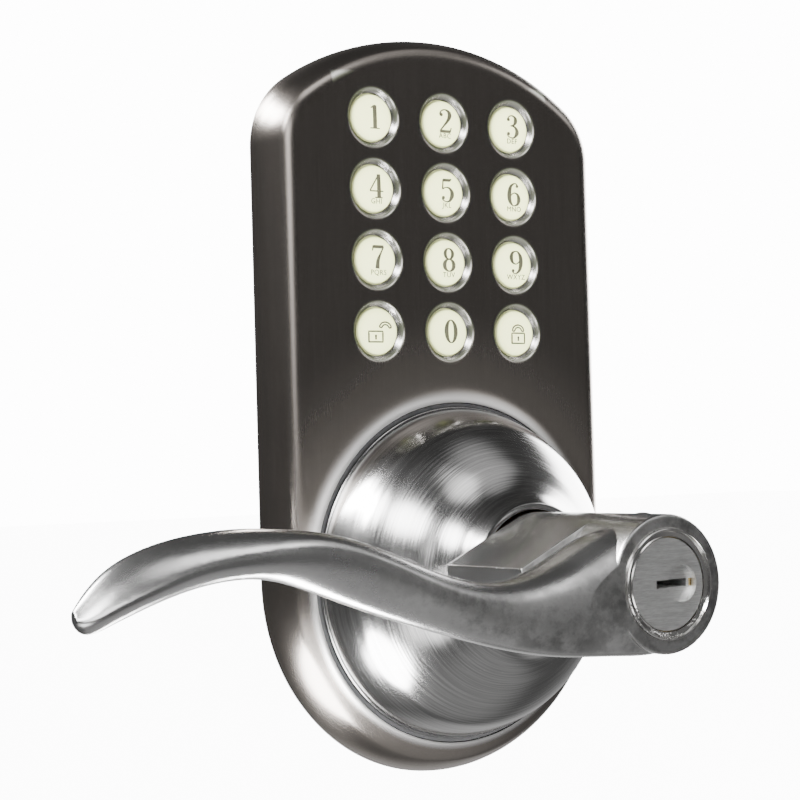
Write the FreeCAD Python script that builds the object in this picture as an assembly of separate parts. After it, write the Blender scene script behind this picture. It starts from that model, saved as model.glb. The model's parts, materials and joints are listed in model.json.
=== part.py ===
import FreeCAD, Part
import math
import os

from FreeCAD import Vector

# Exterior half of a keypad entry lock with a wave-shaped lever and a key cylinder in the lever's hub.
# Millimetres. The origin lies on the lever's axis, in the plane of the door's face.
# +Z is up, +X is to the right for someone outside, and +Y points into the door.

# ---- Plate -------------------------------------------------------------------
GASKET_T = 0.8             # foam between the plate and the door
SHELL_DEPTH = 8.5          # rim to face
SHELL_WALL = 1.8
PLATE_HALF_W = 43.2        # at the rim, and the radius of the rounded foot
SIDE_LEAN = 4.2            # how far the wall leans in from rim to face, at the sides and foot
TOP_LEAN = 3.1             # the same at the top
WALL_BULGE = 0.86          # how far the wall swells out half-way up
TOP_MARGIN = 18.7          # top row of buttons to the top of the rim
ARCH_R = 63.8              # top arch at the rim
ARCH_LEAN = 7.4            # how much smaller the arch's radius is at the face
CORNER_R = 18.2            # between the arch and the sides, at the rim
CORNER_LEAN = 5.4          # how much smaller it is at the face
FACE_EDGE_R = 1.4
BACK_PLATE_T = 1.2
BOSS_R = 2.6
BOSS_SINK = 1.1            # how far a screw's boss runs into the wall
PLATE_SCREW_R = 1.25

# ---- Collar and rose -----------------------------------------------------------
COLLAR_R = 36.1            # inner edge of the raised rim
COLLAR_H = 1.2
COLLAR_TOP_W = 0.4
COLLAR_FOOT_W = 5.4        # rim to where the hollow slope meets the face
SEAL_T = 0.8
ROSE_GAP = 1.0             # groove between the collar and the rose
ROSE_SKIRT_H = 1.6
ROSE_STEP = 0.2            # bead above the skirt
ROSE_WALL = 1.3
ROSE_H = 27.3              # face to the tip of the neck
NECK_GAP = 0.9             # dark gap round the lever's neck

# ---- Lever -----------------------------------------------------------------------
HUB_R = 13.0
HUB_END_H = 67.1           # face to the end of the hub
NECK_R = 12.6
SHANK_R = 10.0             # turns in the bearing
SHANK_BORE_R = 7.2
LEVER_REACH = 110.3        # axis to the tip of the arm
HEEL_REACH = 22.5          # axis to the sharp heel behind the arm
HEEL_TOP = 3.6
HEEL_FOOT = -6.0
HEEL_FRONT_H = 52.0
HUB_EDGE_R = 0.6
SECTION_ROUND = 1.0        # how far each corner of the arm's section is rounded along its sides

# ---- Key cylinder ------------------------------------------------------------------
FACE_RING_R = 10.3
FACE_RING_W = 1.5
FACE_RING_PROUD = 0.5
HOUSING_R = 9.3
HOUSING_BACK_H = 33.0
BIBLE_REACH = 15.0         # axis to the end of the pin chambers' block
BIBLE_HALF_W = 4.0
PLUG_R = 6.35
PLUG_FACE_T = 1.6
PLUG_TAIL_R = 4.0
KEYWAY_LEFT = 2.8          # axis to the keyway's end on the pins' side
KEYWAY_RIGHT = 5.8
KEYWAY_H = 1.5
KEYWAY_DEPTH = 27.0
SCOOP_R = 3.5
SCOOP_DEPTH = 1.2
PIN_R = 1.35
PIN_GAP = 0.1
PIN_PITCH = 3.97
FIRST_PIN_SETBACK = 4.6    # plug's shoulder to the first pin
KEY_PIN_LENGTHS = (3.6, 2.9, 3.3, 2.7, 3.5)
DRIVER_PIN_L = 3.0
PIN_SPRING_WIRE_R = 0.2
PIN_COVER_T = 0.7
TAILPIECE_W = 6.0
TAILPIECE_T = 1.2
TAILPIECE_PAST_DOOR = 38.0

# ---- Bearing, cage, driver and return spring --------------------------------------------
BEARING_WALL = 2.2
BEARING_FLANGE_T = 3.0
CAGE_FLOOR_T = 0.8
CAGE_R = 19.6
CAGE_WALL = 1.0
CAGE_SCREW_CIRCLE_R = 22.8
CAGE_SCREW_R = 1.45
CAGE_SCREW_HEAD_R = 2.6
CAGE_SCREW_HEAD_T = 1.2
WASHER_T = 0.4
DRIVER_T = 1.6
DRIVER_HUB_W = 2.4
DRIVER_FINGER_DEG = 9.0
RING_CLIP_T = 0.8
SPRING_WIRE_R = 0.6
LEVER_SWING_DEG = 50.0
SPINDLE_SQUARE = 8.0
SPINDLE_BORE_R = 3.3
SPINDLE_HEAD_T = 2.4
SPINDLE_HEAD_H = 10.0
SPINDLE_PIN_R = 1.0
SPINDLE_PAST_DOOR = 30.0

# ---- Mounting posts -------------------------------------------------------------------------
POST_SPACING = 41.3
POST_R = 4.0
POST_BORE_R = 2.1
POST_PAST_DOOR = 20.0

# ---- Keypad ---------------------------------------------------------------------------------
COLUMN_PITCH = 18.1
ROW_PITCH = 15.0
KEYPAD_GAP = 3.6           # collar's foot to the lowest recess
RECESS_R = 6.15
RECESS_DEPTH = 1.1
BUTTON_R = 4.9
BUTTON_SET_BACK = 0.45     # face to the button's top
BUTTON_CROWN = 0.5
BUTTON_FLANGE_W = 0.9
BUTTON_FLANGE_T = 0.8
BUTTON_TRAVEL = 0.9
MEMBRANE_T = 0.6
DOME_R = 2.5
BOARD_T = 1.2
BOARD_SIDE_MARGIN = 10.0   # outer column to the board's side
BOARD_TOP_MARGIN = 4.7
BOARD_FOOT_Z = 34.5
BOARD_SCREW_R = 0.95
BOARD_BOSS_R = 2.0
CABLE_SLOT_W = 14.0
CABLE_SLOT_H = 5.0
CABLE_SLOT_Z = 24.2

# ---- Clearances -------------------------------------------------------------------------------
FIT = 0.05                 # running fit, per side
SLIP = 0.1                 # pieces that only slip together
CLEAR = 0.3                # pieces that must never touch

# ---- Places that follow from the sizes ----------------------------------------------------------
RIM_Y = -GASKET_T
FACE_Y = RIM_Y - SHELL_DEPTH
CEILING_Y = FACE_Y + SHELL_WALL                      # inner side of the plate's face
ROSE_R = COLLAR_R - ROSE_GAP
ROSE_BORE_R = ROSE_R - ROSE_STEP - ROSE_WALL
BEARING_R = SHANK_R + FIT + BEARING_WALL
NECK_FOOT_H = ROSE_H - 8.0                           # where the lever's neck meets its shank
HUB_BACK_H = ROSE_H + 0.9
CAGE_BACK_Y = RIM_Y - BACK_PLATE_T - CLEAR
SHANK_END_Y = CAGE_BACK_Y - 0.4
DRIVER_Y = CEILING_Y + CAGE_FLOOR_T + WASHER_T + 2 * SLIP
BOTTOM_ROW_Z = COLLAR_R + COLLAR_FOOT_W + KEYPAD_GAP + RECESS_R
TOP_ROW_Z = BOTTOM_ROW_Z + 3 * ROW_PITCH
PLATE_TOP = TOP_ROW_Z + TOP_MARGIN
FLANGE_Y = CEILING_Y + SLIP
MEMBRANE_TOP_Y = FLANGE_Y + BUTTON_FLANGE_T
MEMBRANE_Y = MEMBRANE_TOP_Y + BUTTON_TRAVEL + 0.7    # front of the membrane's flat web
BOARD_Y = MEMBRANE_Y + MEMBRANE_T
BOARD_BACK_Y = BOARD_Y + BOARD_T
PLUG_SHOULDER_H = HUB_END_H - 0.2 - PLUG_FACE_T
PLUG_FACE_R = FACE_RING_R - FACE_RING_W - 0.2
BUTTON_NAMES = (
    ("button_unlock", "button_0", "button_lock"),
    ("button_7", "button_8", "button_9"),
    ("button_4", "button_5", "button_6"),
    ("button_1", "button_2", "button_3"),
)


# ---- Shapes -------------------------------------------------------------------------------------
def out(height):
    """The y of something that stands so far in front of the plate's face."""
    return FACE_Y - height


def disc(radius, y0, y1, x=0.0, z=0.0):
    return Part.makeCylinder(radius, y1 - y0, Vector(x, y0, z), Vector(0, 1, 0))


def ring(outer, inner, y0, y1, x=0.0, z=0.0):
    return disc(outer, y0, y1, x, z).cut(disc(inner, y0, y1, x, z))


def cone(r0, r1, y0, y1, x=0.0, z=0.0):
    return Part.makeCone(r0, r1, y1 - y0, Vector(x, y0, z), Vector(0, 1, 0))


def block(x0, x1, y0, y1, z0, z1):
    return Part.makeBox(x1 - x0, y1 - y0, z1 - z0, Vector(x0, y0, z0))


def cross_pin(radius, x0, x1, y, z=0.0):
    return Part.makeCylinder(radius, x1 - x0, Vector(x0, y, z), Vector(1, 0, 0))


def turned(edges):
    """Solid of revolution about the lever's axis, from edges drawn in the plane z = 0."""
    face = Part.Face(Part.Wire(edges))
    return face.revolve(Vector(0, 0, 0), Vector(0, 1, 0), 360)


def turned_points(points):
    """Solid of revolution from (radius, y) corners joined by straight lines."""
    corners = [Vector(radius, y, 0) for radius, y in points]
    return turned(Part.makePolygon(corners + corners[:1]).Edges)


def joined(shapes):
    whole = shapes[0]
    for shape in shapes[1:]:
        whole = whole.fuse(shape)
    return whole.removeSplitter()


def separate(shapes):
    return Part.makeCompound(shapes)


def around(radius, degrees):
    """Point at an angle round the lever's axis, as (x, z)."""
    angle = math.radians(degrees)
    return radius * math.cos(angle), radius * math.sin(angle)


# ---- Plate --------------------------------------------------------------------------------------
def outline(lean, y, inset=0.0):
    """Closed arched outline. lean runs from 0 at the rim to 1 at the face."""
    half = PLATE_HALF_W - lean * SIDE_LEAN - inset
    top = PLATE_TOP - lean * TOP_LEAN - inset
    arch = ARCH_R - lean * ARCH_LEAN - inset
    corner = CORNER_R - lean * CORNER_LEAN - inset
    arch_z = top - arch
    corner_x = half - corner
    corner_z = arch_z + math.sqrt((arch - corner) ** 2 - corner_x ** 2)
    lean_out = math.atan2(corner_z - arch_z, corner_x)

    def point(x, z):
        return Vector(x, y, z)

    def on_arch(angle):
        return point(arch * math.cos(angle), arch_z + arch * math.sin(angle))

    def on_corner(side, angle):
        return point(side * (corner_x + corner * math.cos(angle)), corner_z + corner * math.sin(angle))

    join_right = on_arch(lean_out)
    join_left = on_arch(math.pi - lean_out)
    edges = [
        Part.LineSegment(point(half, 0), point(half, corner_z)),
        Part.Arc(point(half, corner_z), on_corner(1, lean_out / 2), join_right),
        Part.Arc(join_right, point(0, top), join_left),
        Part.Arc(join_left, on_corner(-1, lean_out / 2), point(-half, corner_z)),
        Part.LineSegment(point(-half, corner_z), point(-half, 0)),
        Part.Arc(point(-half, 0), point(0, -half), point(half, 0)),
    ]
    return Part.Wire([edge.toShape() for edge in edges])


def plate_solid(y0, lean0, y1, lean1, inset=0.0):
    wires = [outline(lean0, y0, inset), outline(lean1, y1, inset)]
    return Part.makeLoft(wires, True, True)


def lean_at(y):
    return (RIM_Y - y) / SHELL_DEPTH


def plate_blank():
    middle = outline(0.5, (RIM_Y + FACE_Y) / 2, -WALL_BULGE)
    solid = Part.makeLoft([outline(0, RIM_Y), middle, outline(1, FACE_Y)], True, False)
    face_edges = [e for e in solid.Edges if all(abs(v.Y - FACE_Y) < 0.01 for v in e.Vertexes)]
    return solid.makeFillet(FACE_EDGE_R, face_edges)


def collar():
    inner, top = COLLAR_R, out(COLLAR_H)
    crest = inner + COLLAR_TOP_W
    foot = inner + COLLAR_FOOT_W
    base = FACE_Y + FACE_EDGE_R
    hollow = Vector(crest + 0.28 * (foot - crest), out(0.28 * COLLAR_H), 0)
    corners = [Vector(foot, FACE_Y, 0), Vector(foot, base, 0), Vector(inner, base, 0), Vector(inner, top, 0)]
    edges = [Part.LineSegment(a, b).toShape() for a, b in zip(corners, corners[1:])]
    edges.append(Part.LineSegment(corners[-1], Vector(crest, top, 0)).toShape())
    edges.append(Part.Arc(Vector(crest, top, 0), hollow, corners[0]).toShape())
    footprint = Part.Face(outline(1, top - 1)).extrude(Vector(0, COLLAR_H + FACE_EDGE_R + 1, 0))
    return turned(edges).common(footprint)


def button_places():
    """(name, x, z) of every button, from the bottom row up."""
    places = []
    for row, names in enumerate(BUTTON_NAMES):
        for column, name in enumerate(names):
            places.append((name, (column - 1) * COLUMN_PITCH, BOTTOM_ROW_Z + row * ROW_PITCH))
    return places


def board_screw_places():
    x = COLUMN_PITCH + BUTTON_R + BUTTON_FLANGE_W + BOARD_BOSS_R
    rows = (BOTTOM_ROW_Z + 0.5 * ROW_PITCH, BOTTOM_ROW_Z + 2.5 * ROW_PITCH)
    return [(side * x, z) for side in (-1, 1) for z in rows]


def plate_screw_places():
    reach = PLATE_HALF_W - SIDE_LEAN - SHELL_WALL - BOSS_R + BOSS_SINK
    places = [around(reach, degrees) for degrees in (-60, -120)]
    for side in (-1, 1):
        places.append((side * reach, BOTTOM_ROW_Z - ROW_PITCH))
        places.append((side * reach, TOP_ROW_Z - 0.5 * ROW_PITCH))
    return places


def cage_screw_places():
    return [around(CAGE_SCREW_CIRCLE_R, degrees) for degrees in (30, 150, 270)]


def escutcheon():
    shell = plate_blank().cut(plate_solid(RIM_Y, 0, CEILING_Y, 1, SHELL_WALL))
    parts = [shell, collar()]
    parts += [disc(BOSS_R, FACE_Y + 1, RIM_Y - BACK_PLATE_T, x, z) for x, z in plate_screw_places()]
    parts += [disc(BOARD_BOSS_R, FACE_Y + 1, BOARD_Y, x, z) for x, z in board_screw_places()]
    body = joined(parts)
    cuts = [disc(BEARING_R + SLIP, out(1), CEILING_Y + 1)]
    for name, x, z in button_places():
        cuts.append(cone(RECESS_R, BUTTON_R + CLEAR, FACE_Y, FACE_Y + RECESS_DEPTH, x, z))
        cuts.append(disc(BUTTON_R + CLEAR, FACE_Y, CEILING_Y + 1, x, z))
    for x, z in plate_screw_places():
        cuts.append(disc(PLATE_SCREW_R + FIT, CEILING_Y + 0.5, RIM_Y, x, z))
    for x, z in board_screw_places():
        cuts.append(disc(BOARD_SCREW_R + FIT, CEILING_Y + 0.2, BOARD_Y + 1, x, z))
    for x, z in cage_screw_places():
        cuts.append(disc(CAGE_SCREW_R + SLIP, out(1), CEILING_Y + 1, x, z))
    return body.cut(separate(cuts))


def cable_slot(y0, y1, grow=0.0):
    half_w = CABLE_SLOT_W / 2 + grow
    half_h = CABLE_SLOT_H / 2 + grow
    return block(-half_w, half_w, y0, y1, CABLE_SLOT_Z - half_h, CABLE_SLOT_Z + half_h)


def back_plate():
    y0 = RIM_Y - BACK_PLATE_T
    inset = SHELL_WALL + CLEAR
    plate = plate_solid(RIM_Y, lean_at(y0), y0, lean_at(y0), inset)
    cuts = [disc(SPINDLE_SQUARE * 0.9, y0, RIM_Y), cable_slot(y0, RIM_Y)]
    for x, z in plate_screw_places():
        cuts.append(disc(PLATE_SCREW_R + SLIP, y0, RIM_Y, x, z))
        cuts.append(cone(PLATE_SCREW_R + SLIP, 2 * PLATE_SCREW_R + SLIP, y0, RIM_Y, x, z))
    for side in (-1, 1):
        cuts.append(disc(POST_BORE_R + 0.5, y0, RIM_Y, side * POST_SPACING / 2))
    return plate.cut(separate(cuts))


def back_plate_screws():
    y0 = RIM_Y - BACK_PLATE_T
    screws = []
    for x, z in plate_screw_places():
        shank = disc(PLATE_SCREW_R, CEILING_Y + 1.2, y0 + 0.01, x, z)
        head = cone(PLATE_SCREW_R, 2 * PLATE_SCREW_R, y0, RIM_Y, x, z)
        slot = block(x - 1.6, x + 1.6, RIM_Y - 0.5, RIM_Y, z - 0.25, z + 0.25)
        screws.append(shank.fuse(head).cut(slot).removeSplitter())
    return separate(screws)


def rear_gasket():
    outer = plate_solid(0, 0, RIM_Y, 0, 0.4)
    inner = plate_solid(0, 0, RIM_Y, 0, SHELL_WALL + 4.4)
    return outer.cut(inner)


def mounting_posts():
    posts = []
    for side in (-1, 1):
        x = side * POST_SPACING / 2
        post = disc(POST_R, RIM_Y, POST_PAST_DOOR, x)
        post = post.fuse(disc(POST_BORE_R + 0.4, RIM_Y - BACK_PLATE_T, RIM_Y, x))
        bore = disc(POST_BORE_R, 0.5 * RIM_Y, POST_PAST_DOOR, x)
        posts.append(post.cut(bore).removeSplitter())
    return separate(posts)


# ---- Keypad ---------------------------------------------------------------------------------------
def button(x, z):
    top = FACE_Y + BUTTON_SET_BACK
    shoulder = top + BUTTON_CROWN
    cap = disc(BUTTON_R, shoulder, FLANGE_Y, x, z)
    crown = cone(BUTTON_R - BUTTON_CROWN, BUTTON_R, top, shoulder, x, z)
    flange = disc(BUTTON_R + BUTTON_FLANGE_W, FLANGE_Y, FLANGE_Y + BUTTON_FLANGE_T, x, z)
    hollow = disc(DOME_R + 1.0, shoulder + 1.0, FLANGE_Y + BUTTON_FLANGE_T, x, z)
    stem = disc(DOME_R - 0.7, shoulder + 0.9, FLANGE_Y + BUTTON_FLANGE_T, x, z)
    return joined([joined([cap, crown, flange]).cut(hollow), stem])


def board_blank(y0, y1, margin=0.0):
    """Rectangle under the keys, trimmed to the plate's arch."""
    half_w = COLUMN_PITCH + BOARD_SIDE_MARGIN - margin
    top = TOP_ROW_Z + BOARD_TOP_MARGIN - margin
    inset = SHELL_WALL + CLEAR + margin
    room = plate_solid(y1 + 1, 1, y0 - 1, 1, inset)
    return block(-half_w, half_w, y0, y1, BOARD_FOOT_Z + margin, top).common(room)


def lamp_places():
    x = COLUMN_PITCH / 2
    return [(side * x, BOTTOM_ROW_Z + row * ROW_PITCH) for side in (-1, 1) for row in range(4)]


def keypad_board():
    holes = [disc(BOARD_SCREW_R + SLIP, BOARD_Y, BOARD_BACK_Y, x, z) for x, z in board_screw_places()]
    return board_blank(BOARD_Y, BOARD_BACK_Y).cut(separate(holes))


def keypad_membrane():
    web = board_blank(MEMBRANE_Y, BOARD_Y, 0.6)
    foot = BOTTOM_ROW_Z - RECESS_R
    web = web.cut(block(-60, 60, MEMBRANE_Y, BOARD_Y, BOARD_FOOT_Z, foot))
    domes = []
    for name, x, z in button_places():
        domes.append(cone(DOME_R - 0.8, DOME_R, MEMBRANE_TOP_Y, MEMBRANE_Y, x, z))
    holes = [disc(BOARD_BOSS_R + CLEAR, MEMBRANE_Y, BOARD_Y, x, z) for x, z in board_screw_places()]
    holes += [disc(1.5, MEMBRANE_Y, BOARD_Y, x, z) for x, z in lamp_places()]
    for name, x, z in button_places():
        holes.append(disc(DOME_R - 1.0, BOARD_Y - 0.35, BOARD_Y, x, z))
    return joined([web] + domes).cut(separate(holes))


def contact_pads():
    return separate([disc(DOME_R - 1.2, BOARD_Y - 0.1, BOARD_Y, x, z) for name, x, z in button_places()])


def backlight_lamps():
    return separate([block(x - 0.8, x + 0.8, BOARD_Y - 0.5, BOARD_Y, z - 0.4, z + 0.4)
                     for x, z in lamp_places()])


def board_screws():
    screws = []
    for x, z in board_screw_places():
        shank = disc(BOARD_SCREW_R, CEILING_Y + 0.6, BOARD_BACK_Y, x, z)
        head = disc(2 * BOARD_SCREW_R, BOARD_BACK_Y, BOARD_BACK_Y + 0.8, x, z)
        slot = block(x - 1.3, x + 1.3, BOARD_BACK_Y + 0.45, BOARD_BACK_Y + 0.8, z - 0.2, z + 0.2)
        screws.append(shank.fuse(head).cut(slot).removeSplitter())
    return separate(screws)


def board_chips():
    """Controller, driver and two capacitors on the board's back."""
    y0, y1 = BOARD_BACK_Y, BOARD_BACK_Y + 0.8
    middle = TOP_ROW_Z - 1.5 * ROW_PITCH
    chips = [
        block(-5, 5, y0, y1, middle - 5, middle + 5),
        block(9, 14, y0, y1, middle - 3, middle + 3),
        block(-14, -12, y0, y1, middle - 2, middle + 2),
        block(-17, -15, y0, y1, middle - 2, middle + 2),
    ]
    return separate(chips)


def buzzer():
    return disc(4.5, BOARD_BACK_Y, BOARD_BACK_Y + 0.8, 0, TOP_ROW_Z - 0.4 * ROW_PITCH)


def cable_connector():
    z0 = BOARD_FOOT_Z + 1.0
    body = block(-7, 7, BOARD_Y - 2.6, BOARD_Y, z0, z0 + 4.5)
    mouth = block(-6.2, 6.2, BOARD_Y - 2.0, BOARD_Y - 0.6, z0, z0 + 3.5)
    return body.cut(mouth)


# ---- Rose, bearing and cage ---------------------------------------------------------------------------
def rose_seal():
    return ring(COLLAR_R - SLIP, ROSE_BORE_R, out(SEAL_T), FACE_Y)


def bell_points(inset):
    """(radius, height) points along the bell from its shoulder to its neck."""
    shoulder = ROSE_R - ROSE_STEP - inset
    neck = NECK_R + NECK_GAP + ROSE_WALL - inset
    start = ROSE_SKIRT_H + 0.3
    rise = ROSE_H - start
    fall = shoulder - neck
    shares = ((0.0, 0.0), (0.03, 0.10), (0.10, 0.25), (0.185, 0.38), (0.34, 0.51), (0.55, 0.65), (0.74, 0.76),
              (0.89, 0.87), (1.0, 1.0))
    return [Vector(shoulder - a * fall, out(start + b * rise), 0) for a, b in shares]


def rose_dome():
    outer = bell_points(0)
    inner = bell_points(ROSE_WALL)
    outer_curve = Part.BSplineCurve()
    outer_curve.interpolate(outer)
    inner_curve = Part.BSplineCurve()
    inner_curve.interpolate(inner)
    skirt = [
        inner[0],
        Vector(inner[0].x, out(SEAL_T), 0),
        Vector(ROSE_R, out(SEAL_T), 0),
        Vector(ROSE_R, out(ROSE_SKIRT_H), 0),
        Vector(outer[0].x, out(ROSE_SKIRT_H), 0),
        outer[0],
    ]
    edges = [Part.LineSegment(a, b).toShape() for a, b in zip(skirt, skirt[1:])]
    edges.append(outer_curve.toShape())
    edges.append(Part.LineSegment(outer[-1], inner[-1]).toShape())
    edges.append(inner_curve.toShape())
    return turned(edges)


def lever_bearing():
    body = joined([
        disc(ROSE_BORE_R - SLIP, out(ROSE_SKIRT_H), FACE_Y),
        disc(CAGE_SCREW_CIRCLE_R + CAGE_SCREW_HEAD_R, out(BEARING_FLANGE_T), FACE_Y),
        disc(BEARING_R, out(NECK_FOOT_H - 2 * CLEAR), CEILING_Y + CAGE_FLOOR_T),
    ])
    cuts = [disc(SHANK_R + FIT, out(ROSE_H), RIM_Y)]
    for x, z in cage_screw_places():
        cuts.append(disc(CAGE_SCREW_R + FIT, out(BEARING_FLANGE_T - 0.4), FACE_Y, x, z))
    return body.cut(separate(cuts)).removeSplitter()


def sector(inner, outer, y0, y1, middle_deg, half_deg):
    """Piece of a ring, spread evenly about an angle."""
    edges = [around(2 * outer, middle_deg + side * half_deg) for side in (-1, 1)]
    corners = [Vector(0, y0, 0)] + [Vector(x, y0, z) for x, z in edges] + [Vector(0, y0, 0)]
    wedge = Part.Face(Part.makePolygon(corners)).extrude(Vector(0, y1 - y0, 0))
    return ring(outer, inner, y0, y1).common(wedge)


def spring_cage():
    floor_y = CEILING_Y + CAGE_FLOOR_T
    lobe_r = CAGE_SCREW_HEAD_R + 0.8
    parts = [disc(CAGE_R, CEILING_Y, floor_y)]
    parts += [disc(lobe_r, CEILING_Y, floor_y, x, z) for x, z in cage_screw_places()]
    parts.append(ring(CAGE_R, CAGE_R - CAGE_WALL, CEILING_Y, CAGE_BACK_Y))
    stop_half = 4.0
    stop_deg = LEVER_SWING_DEG + DRIVER_FINGER_DEG + stop_half + 1.5
    tooth_r = CAGE_R - CAGE_WALL - 2.8
    for side in (-1, 1):
        parts.append(sector(tooth_r, CAGE_R, CEILING_Y, CAGE_BACK_Y, -90 + side * stop_deg, stop_half))
    body = joined(parts)
    cuts = [disc(BEARING_R + SLIP, CEILING_Y, floor_y)]
    cuts += [disc(CAGE_SCREW_R + SLIP, CEILING_Y, floor_y, x, z) for x, z in cage_screw_places()]
    return body.cut(separate(cuts))


def cage_screws():
    head_y = CEILING_Y + CAGE_FLOOR_T
    screws = []
    for x, z in cage_screw_places():
        shank = disc(CAGE_SCREW_R, out(BEARING_FLANGE_T - 1.0), head_y, x, z)
        head = disc(CAGE_SCREW_HEAD_R, head_y, head_y + CAGE_SCREW_HEAD_T, x, z)
        slot = block(x - 1.8, x + 1.8, head_y + 0.7, head_y + CAGE_SCREW_HEAD_T, z - 0.3, z + 0.3)
        screws.append(shank.fuse(head).cut(slot).removeSplitter())
    return separate(screws)


def thrust_washer():
    y0 = CEILING_Y + CAGE_FLOOR_T
    return ring(SHANK_R + DRIVER_HUB_W + 0.6, SHANK_R + CLEAR, y0, y0 + WASHER_T)


def shank_flats(y0, y1, grow=0.0):
    """Shank's end, flattened on two sides so that the driver can't slip round."""
    half = SHANK_R - 1.2 + grow
    return disc(SHANK_R + grow, y0, y1).common(block(-half, half, y0, y1, -2 * SHANK_R, 2 * SHANK_R))


def lever_driver():
    finger_outer = CAGE_R - CAGE_WALL - CLEAR
    finger_inner = finger_outer - 2.2
    y1 = DRIVER_Y + DRIVER_T
    plate = disc(SHANK_R + DRIVER_HUB_W, DRIVER_Y, y1)
    arm = sector(SHANK_R, finger_outer, DRIVER_Y, y1, -90, DRIVER_FINGER_DEG)
    finger = sector(finger_inner, finger_outer, DRIVER_Y, CAGE_BACK_Y - CLEAR, -90, DRIVER_FINGER_DEG)
    return joined([plate, arm, finger]).cut(shank_flats(DRIVER_Y, y1, SLIP))


def ring_clip_y():
    return DRIVER_Y + DRIVER_T + SLIP


def retaining_ring():
    y0 = ring_clip_y()
    clip = ring(SHANK_R + 1.2, SHANK_R - 0.8, y0, y0 + RING_CLIP_T)
    return clip.cut(block(-2.5, 2.5, y0, y0 + RING_CLIP_T, 0, 2 * SHANK_R))


def return_spring():
    """C-shaped spring behind the driver, whose two legs lie on either side of the driver's finger."""
    radius = SHANK_R + 1.2 + CLEAR + SPRING_WIRE_R
    leg_end = CAGE_R - CAGE_WALL - 1.0
    gap_deg = DRIVER_FINGER_DEG + 6.0
    y = (DRIVER_Y + DRIVER_T + CAGE_BACK_Y) / 2
    corners = []
    for degrees in (-90 + gap_deg, 90, 270 - gap_deg):
        x, z = around(radius, degrees)
        corners.append(Vector(x, y, z))
    path = Part.Arc(*corners).toShape()
    start_way = path.tangentAt(path.FirstParameter)
    section = Part.Wire([Part.Circle(corners[0], start_way, SPRING_WIRE_R).toShape()])
    parts = [Part.Wire([path]).makePipeShell([section], True, True)]
    for end in (corners[0], corners[2]):
        outward = Vector(end.x, 0, end.z).normalize()
        start = end - outward * SPRING_WIRE_R
        parts.append(Part.makeCylinder(SPRING_WIRE_R, leg_end - radius + SPRING_WIRE_R, start, outward))
    return joined(parts)


# ---- Lever ------------------------------------------------------------------------------------------
def arm_sections():
    """Corners of the arm's section from hub to tip: the share of the reach past the axis, the front's
    height above the plate, then (set back from the front, z) of the back top edge, the front ridge, the
    lower ridge, the underside and the middle of the back."""
    return (
        (0.000, 66.7, ((12.7, 11.6), (0.0, 11.6), (0.0, -11.6), (3.7, -13.1), (13.7, -3.0))),
        (0.091, 66.0, ((12.4, 9.0), (0.0, 7.8), (0.2, -11.9), (3.1, -13.1), (13.4, -3.0))),
        (0.192, 65.2, ((12.5, 4.0), (0.0, 3.2), (0.4, -11.3), (3.5, -12.4), (13.5, -4.2))),
        (0.298, 63.7, ((11.0, 1.1), (0.0, 0.5), (0.5, -9.1), (3.5, -10.5), (12.5, -4.6))),
        (0.404, 61.9, ((9.5, 4.0), (0.0, 2.6), (0.5, -4.0), (4.0, -7.2), (12.0, -1.2))),
        (0.515, 60.0, ((8.5, 9.0), (0.0, 8.0), (0.3, 2.4), (5.0, -3.1), (11.5, 3.2))),
        (0.616, 58.2, ((7.5, 12.3), (0.0, 11.4), (0.0, 5.9), (5.0, 1.3), (11.0, 6.8))),
        (0.722, 56.0, ((6.5, 14.1), (0.0, 10.3), (0.6, 6.1), (4.5, 4.7), (10.5, 9.3))),
        (0.813, 54.2, ((6.5, 13.5), (0.0, 8.0), (1.2, 4.6), (4.0, 3.9), (10.0, 8.4))),
        (0.900, 52.5, ((6.0, 11.0), (0.0, 4.2), (1.2, 1.5), (3.5, 0.8), (9.0, 5.8))),
        (0.950, 51.3, ((5.2, 7.8), (0.1, 1.9), (1.2, -0.8), (3.0, -1.5), (7.8, 3.2))),
        (0.983, 50.4, ((4.0, 4.3), (0.5, 0.4), (1.3, -1.9), (2.8, -2.5), (5.8, 0.8))),
        (1.000, 49.7, ((2.6, 1.9), (1.0, 0.4), (1.2, -0.9), (2.0, -1.2), (3.4, 0.2))),
    )


def rounded_loop(corners):
    """Smooth closed curve that keeps close to straight sides between rounded corners."""
    points = []
    count = len(corners)
    for i in range(count):
        here = corners[i]
        for other in (corners[i - 1], corners[(i + 1) % count]):
            side = other - here
            points.append(here + side * min(SECTION_ROUND / side.Length, 0.3))
    curve = Part.BSplineCurve()
    curve.interpolate(points, PeriodicFlag=True)
    return Part.Wire([curve.toShape()])


def lever_arm():
    wires = []
    for share, front_h, corners in arm_sections():
        x = -share * LEVER_REACH
        wires.append(rounded_loop([Vector(x, out(front_h) + back, z) for back, z in corners]))
    return Part.makeLoft(wires, True, False)


def heel():
    """Tapered block behind the arm, from a tangent on the hub to a sharp edge."""
    def touch(x, z, side):
        distance = math.hypot(x, z)
        angle = math.atan2(z, x) + side * math.acos(HUB_R / distance)
        return HUB_R * math.cos(angle), HUB_R * math.sin(angle)

    top = touch(-HEEL_REACH, HEEL_TOP, -1)
    foot = touch(-HEEL_REACH, HEEL_FOOT, 1)
    corners = [top, (-HEEL_REACH, HEEL_TOP), (-HEEL_REACH, HEEL_FOOT), foot, (0, 0), top]
    face = Part.Face(Part.makePolygon([Vector(x, out(HUB_BACK_H), z) for x, z in corners]))
    return face.extrude(Vector(0, HUB_BACK_H - HEEL_FRONT_H, 0))


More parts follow.
